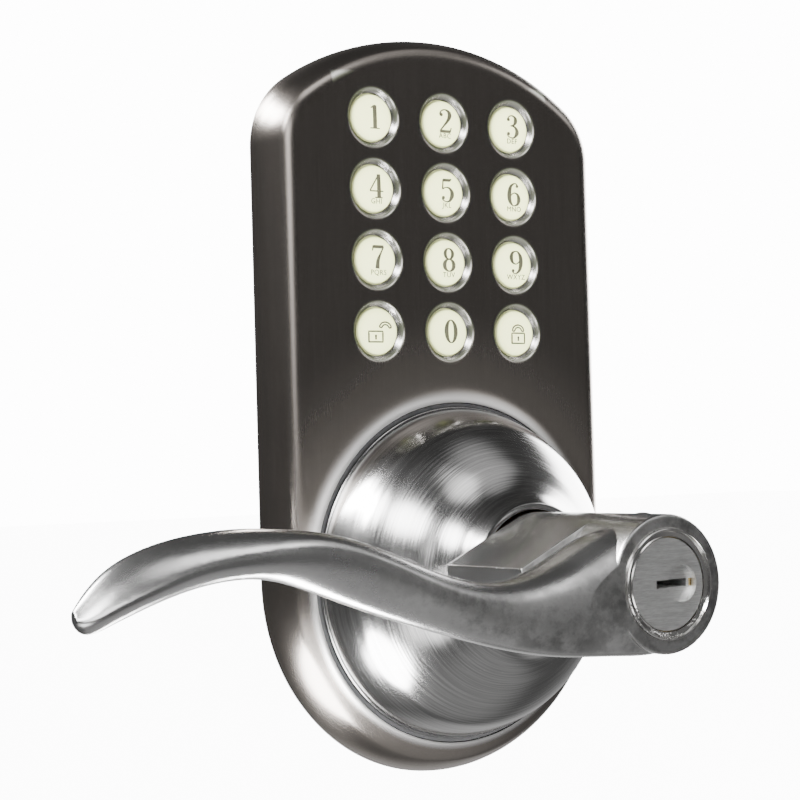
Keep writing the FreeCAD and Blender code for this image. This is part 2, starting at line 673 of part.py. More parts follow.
def hub():
    solid = disc(HUB_R, out(HUB_END_H), out(HUB_BACK_H))
    rims = [e for e in solid.Edges if all(abs(v.Y - out(HUB_END_H)) < 0.01 for v in e.Vertexes)]
    return solid.makeFillet(HUB_EDGE_R, rims)


def lever_handle():
    neck = disc(NECK_R, out(HUB_BACK_H + 1), out(NECK_FOOT_H))
    shank = disc(SHANK_R, out(NECK_FOOT_H), DRIVER_Y).fuse(shank_flats(DRIVER_Y, SHANK_END_Y))
    body = joined([hub(), heel(), lever_arm(), neck, shank])
    back = out(HOUSING_BACK_H - 1.5)
    cuts = [
        block(-LEVER_REACH, HUB_R, out(HUB_END_H + 6), out(HUB_END_H), -2 * HUB_R, 2 * HUB_R),
        disc(FACE_RING_R + FIT, out(HUB_END_H + 1), out(PLUG_SHOULDER_H - SLIP)),
        disc(HOUSING_R + SLIP, out(HUB_END_H), back),
        block(-BIBLE_REACH - SLIP, 0, out(PLUG_SHOULDER_H - SLIP), out(HOUSING_BACK_H), -BIBLE_HALF_W - SLIP,
              BIBLE_HALF_W + SLIP),
        disc(SHANK_BORE_R, back, SHANK_END_Y),
        ring(SHANK_R + 1, SHANK_R - 0.8, ring_clip_y() - FIT, ring_clip_y() + RING_CLIP_T + FIT),
        set_screw_solid(FIT),
    ]
    for side in (-1, 1):
        cuts.append(spindle_pin_solid(side, FIT))
    return body.cut(separate(cuts))


def set_screw_solid(grow):
    y = out(HOUSING_BACK_H + 7)
    top = -HOUSING_R
    return Part.makeCylinder(1.9 + grow, HUB_R - HOUSING_R - 0.5 + 4 * grow, Vector(0, y, top),
                             Vector(0, 0, -1))


def lever_set_screw():
    y = out(HOUSING_BACK_H + 7)
    socket = Part.makeCylinder(0.9, 1.6, Vector(0, y, -HUB_R + 0.5), Vector(0, 0, 1))
    return set_screw_solid(0).cut(socket)


def spindle_pin_solid(side, grow=0.0):
    y = out(SPINDLE_HEAD_H + SPINDLE_HEAD_T / 2)
    inner, outer = SPINDLE_BORE_R + 1.2, SHANK_R - 0.2
    start = inner if side > 0 else -outer
    return cross_pin(SPINDLE_PIN_R + grow, start, start + outer - inner + 2 * grow, y)


def spindle_pins():
    return separate([spindle_pin_solid(side) for side in (-1, 1)])


def spindle():
    half = SPINDLE_SQUARE / 2
    head = disc(SHANK_BORE_R - FIT, out(SPINDLE_HEAD_H + SPINDLE_HEAD_T), out(SPINDLE_HEAD_H))
    bar = block(-half, half, out(SPINDLE_HEAD_H), SPINDLE_PAST_DOOR, -half, half)
    body = head.fuse(bar)
    cuts = [disc(SPINDLE_BORE_R, out(2 * SPINDLE_HEAD_H), SPINDLE_PAST_DOOR)]
    cuts += [spindle_pin_solid(side, FIT) for side in (-1, 1)]
    return body.cut(separate(cuts))


# ---- Key cylinder ---------------------------------------------------------------------------------------
def pin_heights():
    first = PLUG_SHOULDER_H - FIRST_PIN_SETBACK
    return [first - i * PIN_PITCH for i in range(len(KEY_PIN_LENGTHS))]


def chambers(x0, x1):
    return [cross_pin(PIN_R + PIN_GAP, x0, x1, out(height)) for height in pin_heights()]


def cylinder_face_ring():
    inner = FACE_RING_R - FACE_RING_W
    back = out(PLUG_SHOULDER_H)
    lip = out(HUB_END_H + FACE_RING_PROUD)
    return turned_points([
        (inner, back),
        (FACE_RING_R, back),
        (FACE_RING_R, lip + 0.1),
        (FACE_RING_R - 0.15, lip),
        (FACE_RING_R - 0.35, lip),
        (FACE_RING_R - 0.6, lip + 0.5),
        (inner + 0.2, lip + 0.7),
        (inner, lip + 0.55),
    ])


def cover_recess(grow):
    heights = pin_heights()
    reach = PIN_R + 1.2
    return block(-BIBLE_REACH, -BIBLE_REACH + PIN_COVER_T + grow, out(heights[0] + reach + grow),
                 out(heights[-1] - reach - grow), -PIN_R - 0.5 - grow, PIN_R + 0.5 + grow)


def cylinder_housing():
    front, back = out(PLUG_SHOULDER_H), out(HOUSING_BACK_H)
    body = disc(HOUSING_R, front, back)
    body = body.fuse(block(-BIBLE_REACH, 0, front + SLIP, back - SLIP, -BIBLE_HALF_W, BIBLE_HALF_W))
    cuts = [disc(PLUG_R + FIT, front, back), cover_recess(FIT)]
    cuts += chambers(-BIBLE_REACH, -PLUG_R + 0.5)
    return body.removeSplitter().cut(separate(cuts))


def cylinder_plug():
    front, shoulder = out(PLUG_SHOULDER_H + PLUG_FACE_T), out(PLUG_SHOULDER_H + SLIP)
    back = out(HOUSING_BACK_H)
    tail = out(HOUSING_BACK_H - 2.4)
    body = joined([
        disc(PLUG_FACE_R, front, shoulder),
        disc(PLUG_R, shoulder, back),
        disc(PLUG_TAIL_R, back, tail),
    ])
    half_h = KEYWAY_H / 2
    half_t = TAILPIECE_T / 2 + FIT
    cuts = [
        block(-KEYWAY_LEFT, KEYWAY_RIGHT, front, front + KEYWAY_DEPTH, -half_h, half_h),
        block(-KEYWAY_LEFT, 2 * SCOOP_R, front, shoulder, -half_h, half_h),
        disc(SCOOP_R, front, front + SCOOP_DEPTH, SCOOP_R),
        block(-TAILPIECE_W / 2 - FIT, TAILPIECE_W / 2 + FIT, back, tail, -half_t, half_t),
    ]
    cuts += chambers(-PLUG_R - 1, -KEYWAY_LEFT + 0.5)
    return body.cut(separate(cuts))


def key_pins():
    """Cut back from the shear line so that the plug turns freely."""
    end = -PLUG_R + 0.2
    return separate([cross_pin(PIN_R, end, end + length, out(height))
                     for length, height in zip(KEY_PIN_LENGTHS, pin_heights())])


def driver_pins():
    end = -PLUG_R - SLIP
    return separate([cross_pin(PIN_R, end - DRIVER_PIN_L, end, out(height)) for height in pin_heights()])


def coil_spring(x0, x1, y, radius, wire_r, turns):
    """Small compression spring along X. Its wire has six sides."""
    steps = 12 * turns
    sections = []
    for i in range(steps + 1):
        angle = 2 * math.pi * turns * i / steps
        outward = Vector(0, math.cos(angle), math.sin(angle))
        along = x0 + wire_r + (x1 - x0 - 2 * wire_r) * i / steps
        centre = Vector(along, y, 0) + outward * (radius - wire_r)
        corners = []
        for side in range(6):
            turn = math.pi * side / 3
            offset = outward * (wire_r * math.cos(turn)) + Vector(wire_r * math.sin(turn), 0, 0)
            corners.append(centre + offset)
        sections.append(Part.makePolygon(corners + corners[:1]))
    return Part.makeLoft(sections, True, True)


def pin_springs():
    x0 = -BIBLE_REACH + PIN_COVER_T + FIT
    x1 = -PLUG_R - SLIP - DRIVER_PIN_L
    radius = PIN_R - FIT
    return separate([coil_spring(x0, x1, out(height), radius, PIN_SPRING_WIRE_R, 5) for height in pin_heights()])


def pin_cover():
    return cover_recess(0)


def plug_clip():
    y0 = out(HOUSING_BACK_H - SLIP)
    clip = ring(PLUG_R + 0.8, PLUG_TAIL_R, y0, y0 + 0.8)
    return clip.cut(block(-1.5, 1.5, y0, y0 + 0.8, 0, 2 * PLUG_R))


def tailpiece():
    half_w, half_t = TAILPIECE_W / 2, TAILPIECE_T / 2
    return block(-half_w, half_w, out(HOUSING_BACK_H) + FIT, TAILPIECE_PAST_DOOR, -half_t, half_t)


# ---- Nodes ------------------------------------------------------------------------------------------------
def nodes():
    pieces = {
        "escutcheon": escutcheon(),
        "back_plate": back_plate(),
        "back_plate_screws": back_plate_screws(),
        "rear_gasket": rear_gasket(),
        "mounting_posts": mounting_posts(),
        "keypad_board": keypad_board(),
        "keypad_membrane": keypad_membrane(),
        "contact_pads": contact_pads(),
        "backlight_lamps": backlight_lamps(),
        "board_screws": board_screws(),
        "board_chips": board_chips(),
        "buzzer": buzzer(),
        "cable_connector": cable_connector(),
        "rose_seal": rose_seal(),
        "rose_dome": rose_dome(),
        "lever_bearing": lever_bearing(),
        "spring_cage": spring_cage(),
        "cage_screws": cage_screws(),
        "thrust_washer": thrust_washer(),
        "return_spring": return_spring(),
        "lever_driver": lever_driver(),
        "retaining_ring": retaining_ring(),
        "lever_handle": lever_handle(),
        "lever_set_screw": lever_set_screw(),
        "spindle": spindle(),
        "spindle_pins": spindle_pins(),
        "cylinder_face_ring": cylinder_face_ring(),
        "cylinder_housing": cylinder_housing(),
        "cylinder_plug": cylinder_plug(),
        "key_pins": key_pins(),
        "driver_pins": driver_pins(),
        "pin_springs": pin_springs(),
        "pin_cover": pin_cover(),
        "plug_clip": plug_clip(),
        "tailpiece": tailpiece(),
    }
    for name, x, z in button_places():
        pieces[name] = button(x, z)
    return pieces


def main():
    os.makedirs("parts", exist_ok=True)
    for name, shape in nodes().items():
        if not shape.isValid():
            raise ValueError(name + " is not a valid solid")
        shape.exportStep("parts/" + name + ".step")
        print(f"{name}: {len(shape.Solids)} solid(s), {shape.Volume:.1f} mm3")


main()
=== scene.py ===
import json
import math

import bmesh
import bpy
from bpy.props import FloatProperty, FloatVectorProperty, PointerProperty
from mathutils import Matrix, Vector, geometry


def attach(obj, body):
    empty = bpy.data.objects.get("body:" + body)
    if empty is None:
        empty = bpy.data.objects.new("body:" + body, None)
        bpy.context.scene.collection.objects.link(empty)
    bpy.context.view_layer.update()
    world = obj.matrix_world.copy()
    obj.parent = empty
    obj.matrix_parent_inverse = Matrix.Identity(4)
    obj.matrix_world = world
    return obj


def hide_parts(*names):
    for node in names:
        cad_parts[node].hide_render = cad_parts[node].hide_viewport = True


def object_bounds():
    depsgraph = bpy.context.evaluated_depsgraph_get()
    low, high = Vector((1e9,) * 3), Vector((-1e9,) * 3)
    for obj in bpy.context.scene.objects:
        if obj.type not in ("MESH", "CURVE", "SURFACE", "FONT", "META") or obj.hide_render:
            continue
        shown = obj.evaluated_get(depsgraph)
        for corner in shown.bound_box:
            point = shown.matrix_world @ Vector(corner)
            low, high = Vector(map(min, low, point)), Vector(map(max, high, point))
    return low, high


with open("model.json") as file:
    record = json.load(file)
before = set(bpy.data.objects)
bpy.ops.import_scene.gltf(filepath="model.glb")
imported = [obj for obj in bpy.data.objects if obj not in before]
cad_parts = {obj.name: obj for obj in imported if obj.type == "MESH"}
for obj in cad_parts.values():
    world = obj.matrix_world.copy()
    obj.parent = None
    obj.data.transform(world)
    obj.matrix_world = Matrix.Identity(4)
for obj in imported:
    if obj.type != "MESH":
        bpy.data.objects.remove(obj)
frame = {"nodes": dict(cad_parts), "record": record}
CAD_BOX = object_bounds()

bl_info = {
    "name": "Keypad lock trim",
    "version": (1, 0, 0),
    "blender": (4, 5, 0),
    "location": "View3D > Sidebar > Lock trim",
    "description": "Builds the visible pieces of a keypad lock trim around its packed CAD frame",
    "category": "Add Mesh",
}

MM = 0.001
RIM_Y = -0.8 * MM           # the plate's back edge
FACE_Y = -9.3 * MM          # the plate's face
CEILING_Y = -7.5 * MM       # inner side of the plate's face
PER_MM = 1000.0             # turns a shader's metres into millimetres
NECK_BORE_R = 12.35 * MM    # hole in the plate for the lever's neck
INNER_LEAN = 0.78           # share of the lean at which the hollow of the shell ends
ROUND_STEPS = 200           # points round the collar, the rose and its seal
INK_TOP = 0.04 * MM         # printed characters above a cap's crown
INK_FOOT = -0.05 * MM       # and sunk below it
# From the plate's face to a piece whose own z axis points out of the door
OUTWARD = Matrix.Translation((0, FACE_Y, 0)) @ Matrix.Rotation(math.radians(90), 4, "X")
BUTTON_ROWS = (("unlock", "0", "lock"), ("7", "8", "9"), ("4", "5", "6"), ("1", "2", "3"))
LETTERS = {"2": "ABC", "3": "DEF", "4": "GHI", "5": "JKL", "6": "MNO", "7": "PQRS", "8": "TUV",
           "9": "WXYZ"}


def length(name, text, value):
    return FloatProperty(name=name, description=text, default=value * MM, unit="LENGTH")


def colour(name, text, value):
    return FloatVectorProperty(name=name, description=text, default=value, subtype="COLOR", min=0, max=1)


class PlateSettings(bpy.types.PropertyGroup):
    half_width: length("Half width", "Half the plate's width at its rim", 43.2)
    top: length("Top", "Height of the plate's top above the lever's axis, at the rim", 114.95)
    side_lean: length("Side lean", "How far the wall leans in at the sides and foot", 4.2)
    top_lean: length("Top lean", "How far the wall leans in at the top", 3.1)
    arch_radius: length("Arch radius", "Radius of the top's arch at the rim", 63.8)
    arch_lean: length("Arch lean", "How much smaller the arch's radius is at the face", 7.4)
    corner_radius: length("Corner radius", "Radius between the arch and a side, at the rim", 18.2)
    corner_lean: length("Corner lean", "How much smaller that radius is at the face", 5.4)
    bulge: length("Wall swell", "How far the wall swells out half-way up", 0.86)
    edge: length("Face edge", "How far the rounded edge runs onto the face", 2.6)
    wall: length("Wall", "Thickness of the shell", 1.8)
    collar_radius: length("Collar radius", "Inner edge of the raised collar", 36.1)
    collar_height: length("Collar height", "Crest of the collar above the face", 1.2)
    collar_width: length("Collar width", "Crest to the foot of the hollow slope", 5.4)


class RoseSettings(bpy.types.PropertyGroup):
    radius: length("Radius", "Outer radius of the rose", 35.1)
    height: length("Height", "Plate's face to the tip of the rose's neck", 27.3)
    wall: length("Wall", "Thickness of the spun shell", 1.3)


class ButtonSettings(bpy.types.PropertyGroup):
    radius: length("Radius", "Radius of a cap", 4.9)
    column_pitch: length("Column pitch", "Middle of one column to the next", 18.1)
    row_pitch: length("Row pitch", "Middle of one row to the next", 15.0)
    bottom_row: length("Bottom row", "Lever's axis to the lowest row", 51.25)
    recess: length("Recess", "Outer radius of the dish round a cap", 6.15)
    digit: length("Digit height", "Height of a printed digit", 5.05)
    letter: length("Letter height", "Height of the small letters", 1.15)


class FinishSettings(bpy.types.PropertyGroup):
    plate: colour("Plate", "Dark satin nickel of the plate", (0.215, 0.195, 0.178))
    rose: colour("Rose", "Satin nickel of the rose", (0.47, 0.465, 0.46))
    lever: colour("Lever", "Hand-worn satin nickel of the lever", (0.60, 0.595, 0.59))
    cap: colour("Caps", "Lit translucent plastic of the buttons", (0.66, 0.69, 0.33))
    ink: colour("Ink", "Printed digits and symbols", (0.045, 0.045, 0.022))
    letter_ink: colour("Letter ink", "Printed small letters", (0.02, 0.022, 0.011))
    floor: colour("Floor", "Pale studio floor", (0.86, 0.86, 0.86))


class StageSettings(bpy.types.PropertyGroup):
    lens: FloatProperty(name="Lens", description="Focal length on a 36 mm sensor", default=87.0, unit="CAMERA")
    floor_drop: length("Floor drop", "Floor below the foot of the plate", 150.0)


def settings(group):
    return getattr(bpy.context.scene, "lock_" + group)


# Mesh helpers


def new_piece(name, bm, sharp=40.0, matrix=None):
    """Links a bmesh as a smooth-shaded object whose edges sharper than an angle stay crisp."""
    bmesh.ops.remove_doubles(bm, verts=bm.verts, dist=1e-7)
    bmesh.ops.recalc_face_normals(bm, faces=bm.faces)
    mesh = bpy.data.meshes.new(name)
    bm.to_mesh(mesh)
    bm.free()
    mesh.shade_smooth()
    mesh.set_sharp_from_angle(angle=math.radians(sharp))
    piece = bpy.data.objects.new(name, mesh)
    if matrix:
        piece.matrix_world = matrix
    bpy.context.scene.collection.objects.link(piece)
    return piece


def finish_piece(piece, body, slot_name, material, *nodes):
    piece.data.materials.clear()
    piece.data.materials.append(material)
    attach(piece, body)
    if nodes:
        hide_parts(*nodes)
    return piece


def bridge(bm, lower, upper):
    """Faces between two closed loops that have the same number of points."""
    count = len(lower)
    for i in range(count):
        j = (i + 1) % count
        bm.faces.new((lower[i], lower[j], upper[j], upper[i]))


def circle(bm, radius, place, count):
    """A loop of points; place turns (x, z) into a position."""
    return [bm.verts.new(place(radius * math.cos(a), radius * math.sin(a)))
            for a in (2 * math.pi * i / count for i in range(count))]


def lathe(profile, count):
    """Turns a closed profile of (radius, height) about the height axis; a zero radius closes to a point."""
    bm = bmesh.new()
    rings = []
    for radius, height in profile:
        if radius < 1e-6:
            rings.append([bm.verts.new((0, 0, height))])
        else:
            rings.append(circle(bm, radius, lambda u, v, h=height: (u, v, h), count))
    for lower, upper in zip(rings, rings[1:] + rings[:1]):
        if len(lower) == 1 and len(upper) == 1:
            continue
        if len(lower) == 1 or len(upper) == 1:
            tip, loop = (lower[0], upper) if len(lower) == 1 else (upper[0], lower)
            for i in range(count):
                bm.faces.new((tip, loop[i], loop[(i + 1) % count]))
        else:
            bridge(bm, lower, upper)
    return bm


def smooth_path(points, steps=6):
    """Catmull-Rom curve through tuples of any length."""
    ends = [points[0]] + list(points) + [points[-1]]
    found = []
    for a, b, c, d in zip(ends, ends[1:], ends[2:], ends[3:]):
        for k in range(steps):
            t = k / steps
            found.append(tuple(
                0.5 * (2 * q + (r - p) * t + (2 * p - 5 * q + 4 * r - s) * t * t
                       + (3 * q - p - 3 * r + s) * t ** 3)
                for p, q, r, s in zip(a, b, c, d)))
    return found + [tuple(points[-1])]


def rounded(profile, radius):
    """Rounds each corner of an open (radius, height) line with a small bend."""
    steps = 4
    found = [profile[0]]
    for before, here, after in zip(profile, profile[1:], profile[2:]):
        p, q, r = Vector(before), Vector(here), Vector(after)
        cut = min(radius, (p - q).length * 0.45, (r - q).length * 0.45)
        start = q + (p - q).normalized() * cut
        end = q + (r - q).normalized() * cut
        for k in range(steps + 1):
            t = k / steps
            found.append(tuple((1 - t) ** 2 * start + 2 * t * (1 - t) * q + t * t * end))
    return found + [profile[-1]]


# The plate


def arch_shape(plate, lean, inset):
    """Half width, radii of the top arch and of its corners, height of the arch's middle, the corner's middle
    and the angle at which the two arcs meet; lean runs from 0 at the rim to 1 at the face."""
    half = plate.half_width - lean * plate.side_lean - inset
    top = plate.top - lean * plate.top_lean - inset
    arch = plate.arch_radius - lean * plate.arch_lean - inset
    corner = plate.corner_radius - lean * plate.corner_lean - inset
    arch_z = top - arch
    corner_x = half - corner
    corner_z = arch_z + math.sqrt((arch - corner) ** 2 - corner_x ** 2)
    return half, arch, corner, arch_z, corner_x, corner_z, math.atan2(corner_z - arch_z, corner_x)


def arched_outline(plate, lean, inset=0.0):
    """Closed arched outline as (x, z) points."""
    half, arch, corner, arch_z, corner_x, corner_z, meet = arch_shape(plate, lean, inset)
    right = [(half, corner_z * k / 36) for k in range(36)]
    right += [(corner_x + corner * math.cos(a), corner_z + corner * math.sin(a))
              for a in (meet * k / 22 for k in range(22))]
    right += [(arch * math.cos(a), arch_z + arch * math.sin(a))
              for a in (meet + (math.pi / 2 - meet) * k / 26 for k in range(26))]
    left = [(-x, z) for x, z in reversed(right)]
    foot = [(-half * math.cos(a), -half * math.sin(a)) for a in (math.pi * k / 100 for k in range(1, 100))]
    return right + [(0.0, arch_z + arch)] + left + foot


def collar_height(plate, x, z):
    """Height of the raised collar's hollow slope above the face."""
    r = math.hypot(x, z) - plate.collar_radius
    crest = 0.4 * MM
    if r < 0 or r > plate.collar_width:
        return 0.0
    if r <= crest:
        return plate.collar_height
    t = (r - crest) / (plate.collar_width - crest)
    return plate.collar_height * (1 - t) ** 2.3


def button_places(buttons):
    return [(name, (column - 1) * buttons.column_pitch, buttons.bottom_row + row * buttons.row_pitch)
            for row, names in enumerate(BUTTON_ROWS) for column, name in enumerate(names)]


def fill_sheet(bm, loops, extra, height, inside):
    """Triangles between loops of vertices and extra (x, z) points, kept where inside(x, z) holds."""
    points, owners, edges = [], [], []
    for loop in loops:
        first = len(points)
        points += [Vector((v.co.x, v.co.z)) for v in loop]
        owners += loop
        edges += [(first + i, first + (i + 1) % len(loop)) for i in range(len(loop))]
    points += [Vector(p) for p in extra]
    owners += [None] * len(extra)
    flat, _, triangles, origins, _, _ = geometry.delaunay_2d_cdt(points, edges, [], 0, 1e-9)
    made = []
    for place, sources in zip(flat, origins):
        owned = [owners[i] for i in sources if owners[i] is not None]
        made.append(owned[0] if owned else bm.verts.new((place.x, height(place.x, place.y), place.y)))
    for corners in triangles:
        middle = sum((flat[i] for i in corners), Vector((0, 0))) / len(corners)
        if inside(middle.x, middle.y):
            bm.faces.new([made[i] for i in corners])


def plate_walls(bm, plate):
    """Leaning, swollen outer wall with a soft edge onto the face, and the hollow's wall inside it; returns
    the last loop of each."""
    edge_lean = 0.80
    edge_y = RIM_Y + edge_lean * (FACE_Y - RIM_Y)

    def loop_at(lean, y, inset, lift=0.0):
        points = arched_outline(plate, lean, inset)
        return [bm.verts.new((x, y - lift * collar_height(plate, x, z), z)) for x, z in points]

    def swell(lean):
        return plate.bulge * 4 * lean * (1 - lean)

    outer = []
    for k in range(7):
        lean = edge_lean * k / 6
        outer.append(loop_at(lean, RIM_Y + lean * (FACE_Y - RIM_Y), -swell(lean)))
    for k in range(1, 11):
        t = k / 10
        turned = 1 - (1 - t) ** 2
        inset = plate.edge * t * t - swell(edge_lean) * (1 - t) ** 2
        lean, y = edge_lean + (1 - edge_lean) * turned, edge_y + (FACE_Y - edge_y) * turned
        outer.append(loop_at(lean, y, inset, t ** 1.5))
    hollow = [loop_at(0.0, RIM_Y, plate.wall), loop_at(INNER_LEAN, CEILING_Y, plate.wall)]
    for lower, upper in [*zip(outer, outer[1:]), (outer[0], hollow[0]), hollow]:
        bridge(bm, lower, upper)
    return outer[-1], hollow[1]


def key_recesses(bm, buttons):
    """Dished recess for each button, with a hole into the hollow; returns (x, z, radius, loop) of every lip
    and of every hole."""
    dish = ((1.16, 0.0), (1.10, 0.03), (1.05, 0.10), (1.0, 0.24), (0.965, 0.45), (0.93, 0.70), (0.895, 0.93),
            (0.865, 1.08), (0.848, 1.20))     # share of the recess's radius, depth in millimetres
    hole = 0.846 * buttons.recess
    count = 56
    lips, holes = [], []
    for _, bx, bz in button_places(buttons):
        rings = [circle(bm, buttons.recess * share,
                        lambda u, v, d=depth: (bx + u, FACE_Y + d * MM, bz + v), count)
                 for share, depth in dish]
        rings.append(circle(bm, hole, lambda u, v: (bx + u, CEILING_Y, bz + v), count))
        for lower, upper in zip(rings, rings[1:]):
            bridge(bm, lower, upper)
        lips.append((bx, bz, buttons.recess * dish[0][0], rings[0]))
        holes.append((bx, bz, hole, rings[-1]))
    return lips, holes


def clear_of(holes, x, z, margin=0.0):
    return all(math.hypot(x - hole_x, z - hole_z) > radius + margin for hole_x, hole_z, radius, _ in holes)


def face_points(plate, lips):
    """Points on the face: staggered rings down the collar's slope and a wide grid among the keys."""
    rings, step = 14, 4.0 * MM
    slope_end = plate.collar_radius + plate.collar_width
    found = []
    for k in range(rings):
        radius = plate.collar_radius + plate.collar_width * (0.075 + 0.925 * k / (rings - 1))
        for i in range(ROUND_STEPS):
            a = 2 * math.pi * (i + 0.5 * ((k + 1) % 2)) / ROUND_STEPS
            x, z = radius * math.cos(a), radius * math.sin(a)
            if arched_test(plate, x, z, plate.edge + 0.35 * MM):
                found.append((x, z))
    for i in range(-10, 11):
        for k in range(10, 28):
            x, z = (i + 0.5 * (k % 2)) * step, k * step
            inside = arched_test(plate, x, z, plate.edge + 1.5 * MM)
            if inside and clear_of(lips, x, z, 0.8 * MM) and math.hypot(x, z) > slope_end + 1.0 * MM:
                found.append((x, z))
    return found


def build_plate():
    """The arched shell: walls, raised collar, dished key recesses, the lever's bore and the hollow back."""
    plate, buttons = settings("plate"), settings("buttons")
    bm = bmesh.new()
    face_edge, hollow_edge = plate_walls(bm, plate)
    lips, holes = key_recesses(bm, buttons)

    def level_circle(radius, y, count):
        return circle(bm, radius, lambda u, v: (u, y, v), count)

    crest = level_circle(plate.collar_radius, FACE_Y - plate.collar_height, ROUND_STEPS)
    collar_foot = level_circle(plate.collar_radius, FACE_Y, ROUND_STEPS)
    bore_top = level_circle(NECK_BORE_R, FACE_Y, 96)
    bore_low = level_circle(NECK_BORE_R, CEILING_Y, 96)
    bridge(bm, crest, collar_foot)
    bridge(bm, bore_top, bore_low)

    def on_face(x, z):
        return (arched_test(plate, x, z, plate.edge) and math.hypot(x, z) > plate.collar_radius
                and clear_of(lips, x, z))

    def on_ceiling(x, z):
        return (arched_test(plate, x, z, plate.wall, INNER_LEAN) and math.hypot(x, z) > NECK_BORE_R
                and clear_of(holes, x, z))

    fill_sheet(bm, [face_edge, crest] + [lip[-1] for lip in lips], face_points(plate, lips),
               lambda x, z: FACE_Y - collar_height(plate, x, z), on_face)
    fill_sheet(bm, [collar_foot, bore_top], [], lambda x, z: FACE_Y,
               lambda x, z: math.hypot(x, z) > NECK_BORE_R)
    fill_sheet(bm, [hollow_edge, bore_low] + [hole[-1] for hole in holes], [], lambda x, z: CEILING_Y,
               on_ceiling)
    return new_piece("plate_shell", bm, 50)


def arched_test(plate, x, z, inset, lean=1.0):
    """Whether (x, z) lies inside the arched outline."""
    half, arch, corner, arch_z, corner_x, corner_z, meet = arch_shape(plate, lean, inset)
    if z < 0:
        return math.hypot(x, z) < half
    if z <= corner_z:
        return abs(x) < half
    if math.atan2(z - arch_z, abs(x)) > meet:
        return math.hypot(x, z - arch_z) < arch
    return math.hypot(abs(x) - corner_x, z - corner_z) < corner or abs(x) < corner_x


def build_gasket():
    """Foam band behind the rim, its outer and inner sides swelling as it is pressed."""
    plate = settings("plate")
    outer, inner, swell, gap = 0.4 * MM, 6.2 * MM, 0.22 * MM, 0.02 * MM
    turns = [math.pi * k / 6 for k in range(7)]
    section = [(outer - swell * math.sin(a), 0.5 - 0.5 * math.cos(a)) for a in turns]
    section += [(inner + swell * math.sin(a), 0.5 + 0.5 * math.cos(a)) for a in turns]
    bm = bmesh.new()
    loops = []
    for inset, share in section:
        y = -gap + share * (RIM_Y + gap)
        loops.append([bm.verts.new((x, y, z)) for x, z in arched_outline(plate, 0, inset)])
    for lower, upper in zip(loops, loops[1:] + loops[:1]):
        bridge(bm, lower, upper)
    return new_piece("foam_gasket", bm, 60)


def build_seal():
    """Rubber ring in the groove round the rose, with a rounded lip."""
    outer, inner, top = 35.98 * MM, 33.7 * MM, 0.78 * MM
    lip, bend = 0.75 * MM, 0.25 * MM
    line = rounded([(inner, 0.0), (outer, 0.0), (outer, top + bend), (outer - lip, top + 0.1 * MM),
                    (outer - lip - 0.2 * MM, top), (inner, top)], bend)
    return new_piece("rose_seal_lip", lathe(line, ROUND_STEPS), 60, OUTWARD)


def build_rose():
    """Spun bell: a flat skirt, a fine bead, a hollow flare and a thin lip round the lever's neck."""
    rose = settings("rose")
    shoulder = rose.radius - 0.2 * MM
    neck = 14.8 * MM
    foot, skirt = 0.8 * MM, 1.6 * MM
    start = skirt + 0.3 * MM
    # Shares of the way in from the shoulder to the neck, and of the way up
    shares = ((0.0, 0.0), (0.03, 0.10), (0.10, 0.25), (0.185, 0.38), (0.34, 0.51), (0.55, 0.65), (0.74, 0.76),
              (0.89, 0.87), (1.0, 1.0))
    bell = smooth_path([(shoulder - a * (shoulder - neck), start + b * (rose.height - start))
                        for a, b in shares], 8)
    inside = [(r - rose.wall, h - 0.2 * MM * (h > 20 * MM)) for r, h in reversed(bell)]
    edge = rounded([(shoulder - rose.wall, foot), (rose.radius, foot), (rose.radius, skirt),
                    (shoulder, skirt + 0.08 * MM), bell[0]], 0.18 * MM)
    lip = rounded([bell[-1], (neck - 0.3 * MM, rose.height + 0.12 * MM),
                   (neck - rose.wall, rose.height - 0.1 * MM), inside[0]], 0.3 * MM)
    line = edge[:-1] + bell[:-1] + lip[:-1] + inside
    return new_piece("rose_bell", lathe(line, ROUND_STEPS), 35, OUTWARD)


# The buttons


def at_button(x, z):
    """From a button's own place to the plate's face."""
    return OUTWARD @ Matrix.Translation((x, z, 0))


def cap_height(buttons, r):
    """Height of a cap's crowned top above the plate's face, by distance from its middle."""
    middle, fall = -0.40 * MM, 0.22 * MM
    return middle - fall * min(r / buttons.radius, 1.0) ** 2


def build_cap(name, x, z):
    """Crowned cap with a rounded edge, and a flange below the plate's face that keeps it in."""
    buttons = settings("buttons")
    radius, bend = buttons.radius, 0.42 * MM
    flange, flange_top, back = radius + 0.9 * MM, -1.9 * MM, -2.7 * MM
    crown = [(radius * k / 12, cap_height(buttons, radius * k / 12)) for k in range(11)]
    edge = [(radius - bend * (1 - math.sin(a)), cap_height(buttons, radius) - bend * (1 - math.cos(a)))
            for a in (math.pi / 2 * k / 6 for k in range(7))]
    below = [(radius, flange_top), (flange, flange_top), (flange, back), (1.8 * MM, back), (0.0, back)]
    return new_piece("cap_" + name, lathe(crown + edge + below, 72), 45, at_button(x, z))


# The characters are strokes of (x, y, full width) stations, as shares of their height


def bowl(cx, cy, rx, ry, thin, thick):
    """An oval stroke that is heavy at its sides and fine at its top and foot."""
    return [(cx + rx * math.cos(a), cy + ry * math.sin(a), thin + (thick - thin) * abs(math.cos(a)) ** 1.5)
            for a in (2 * math.pi * k / 40 for k in range(41))]


def dot(cx, cy, r):
    """A ball, drawn as one short stroke."""
    return [(cx + r * math.sin(a), cy, 2 * r * max(math.cos(a), 0.02)) for a in
            (math.pi * (k / 12 - 0.5) for k in range(13))]


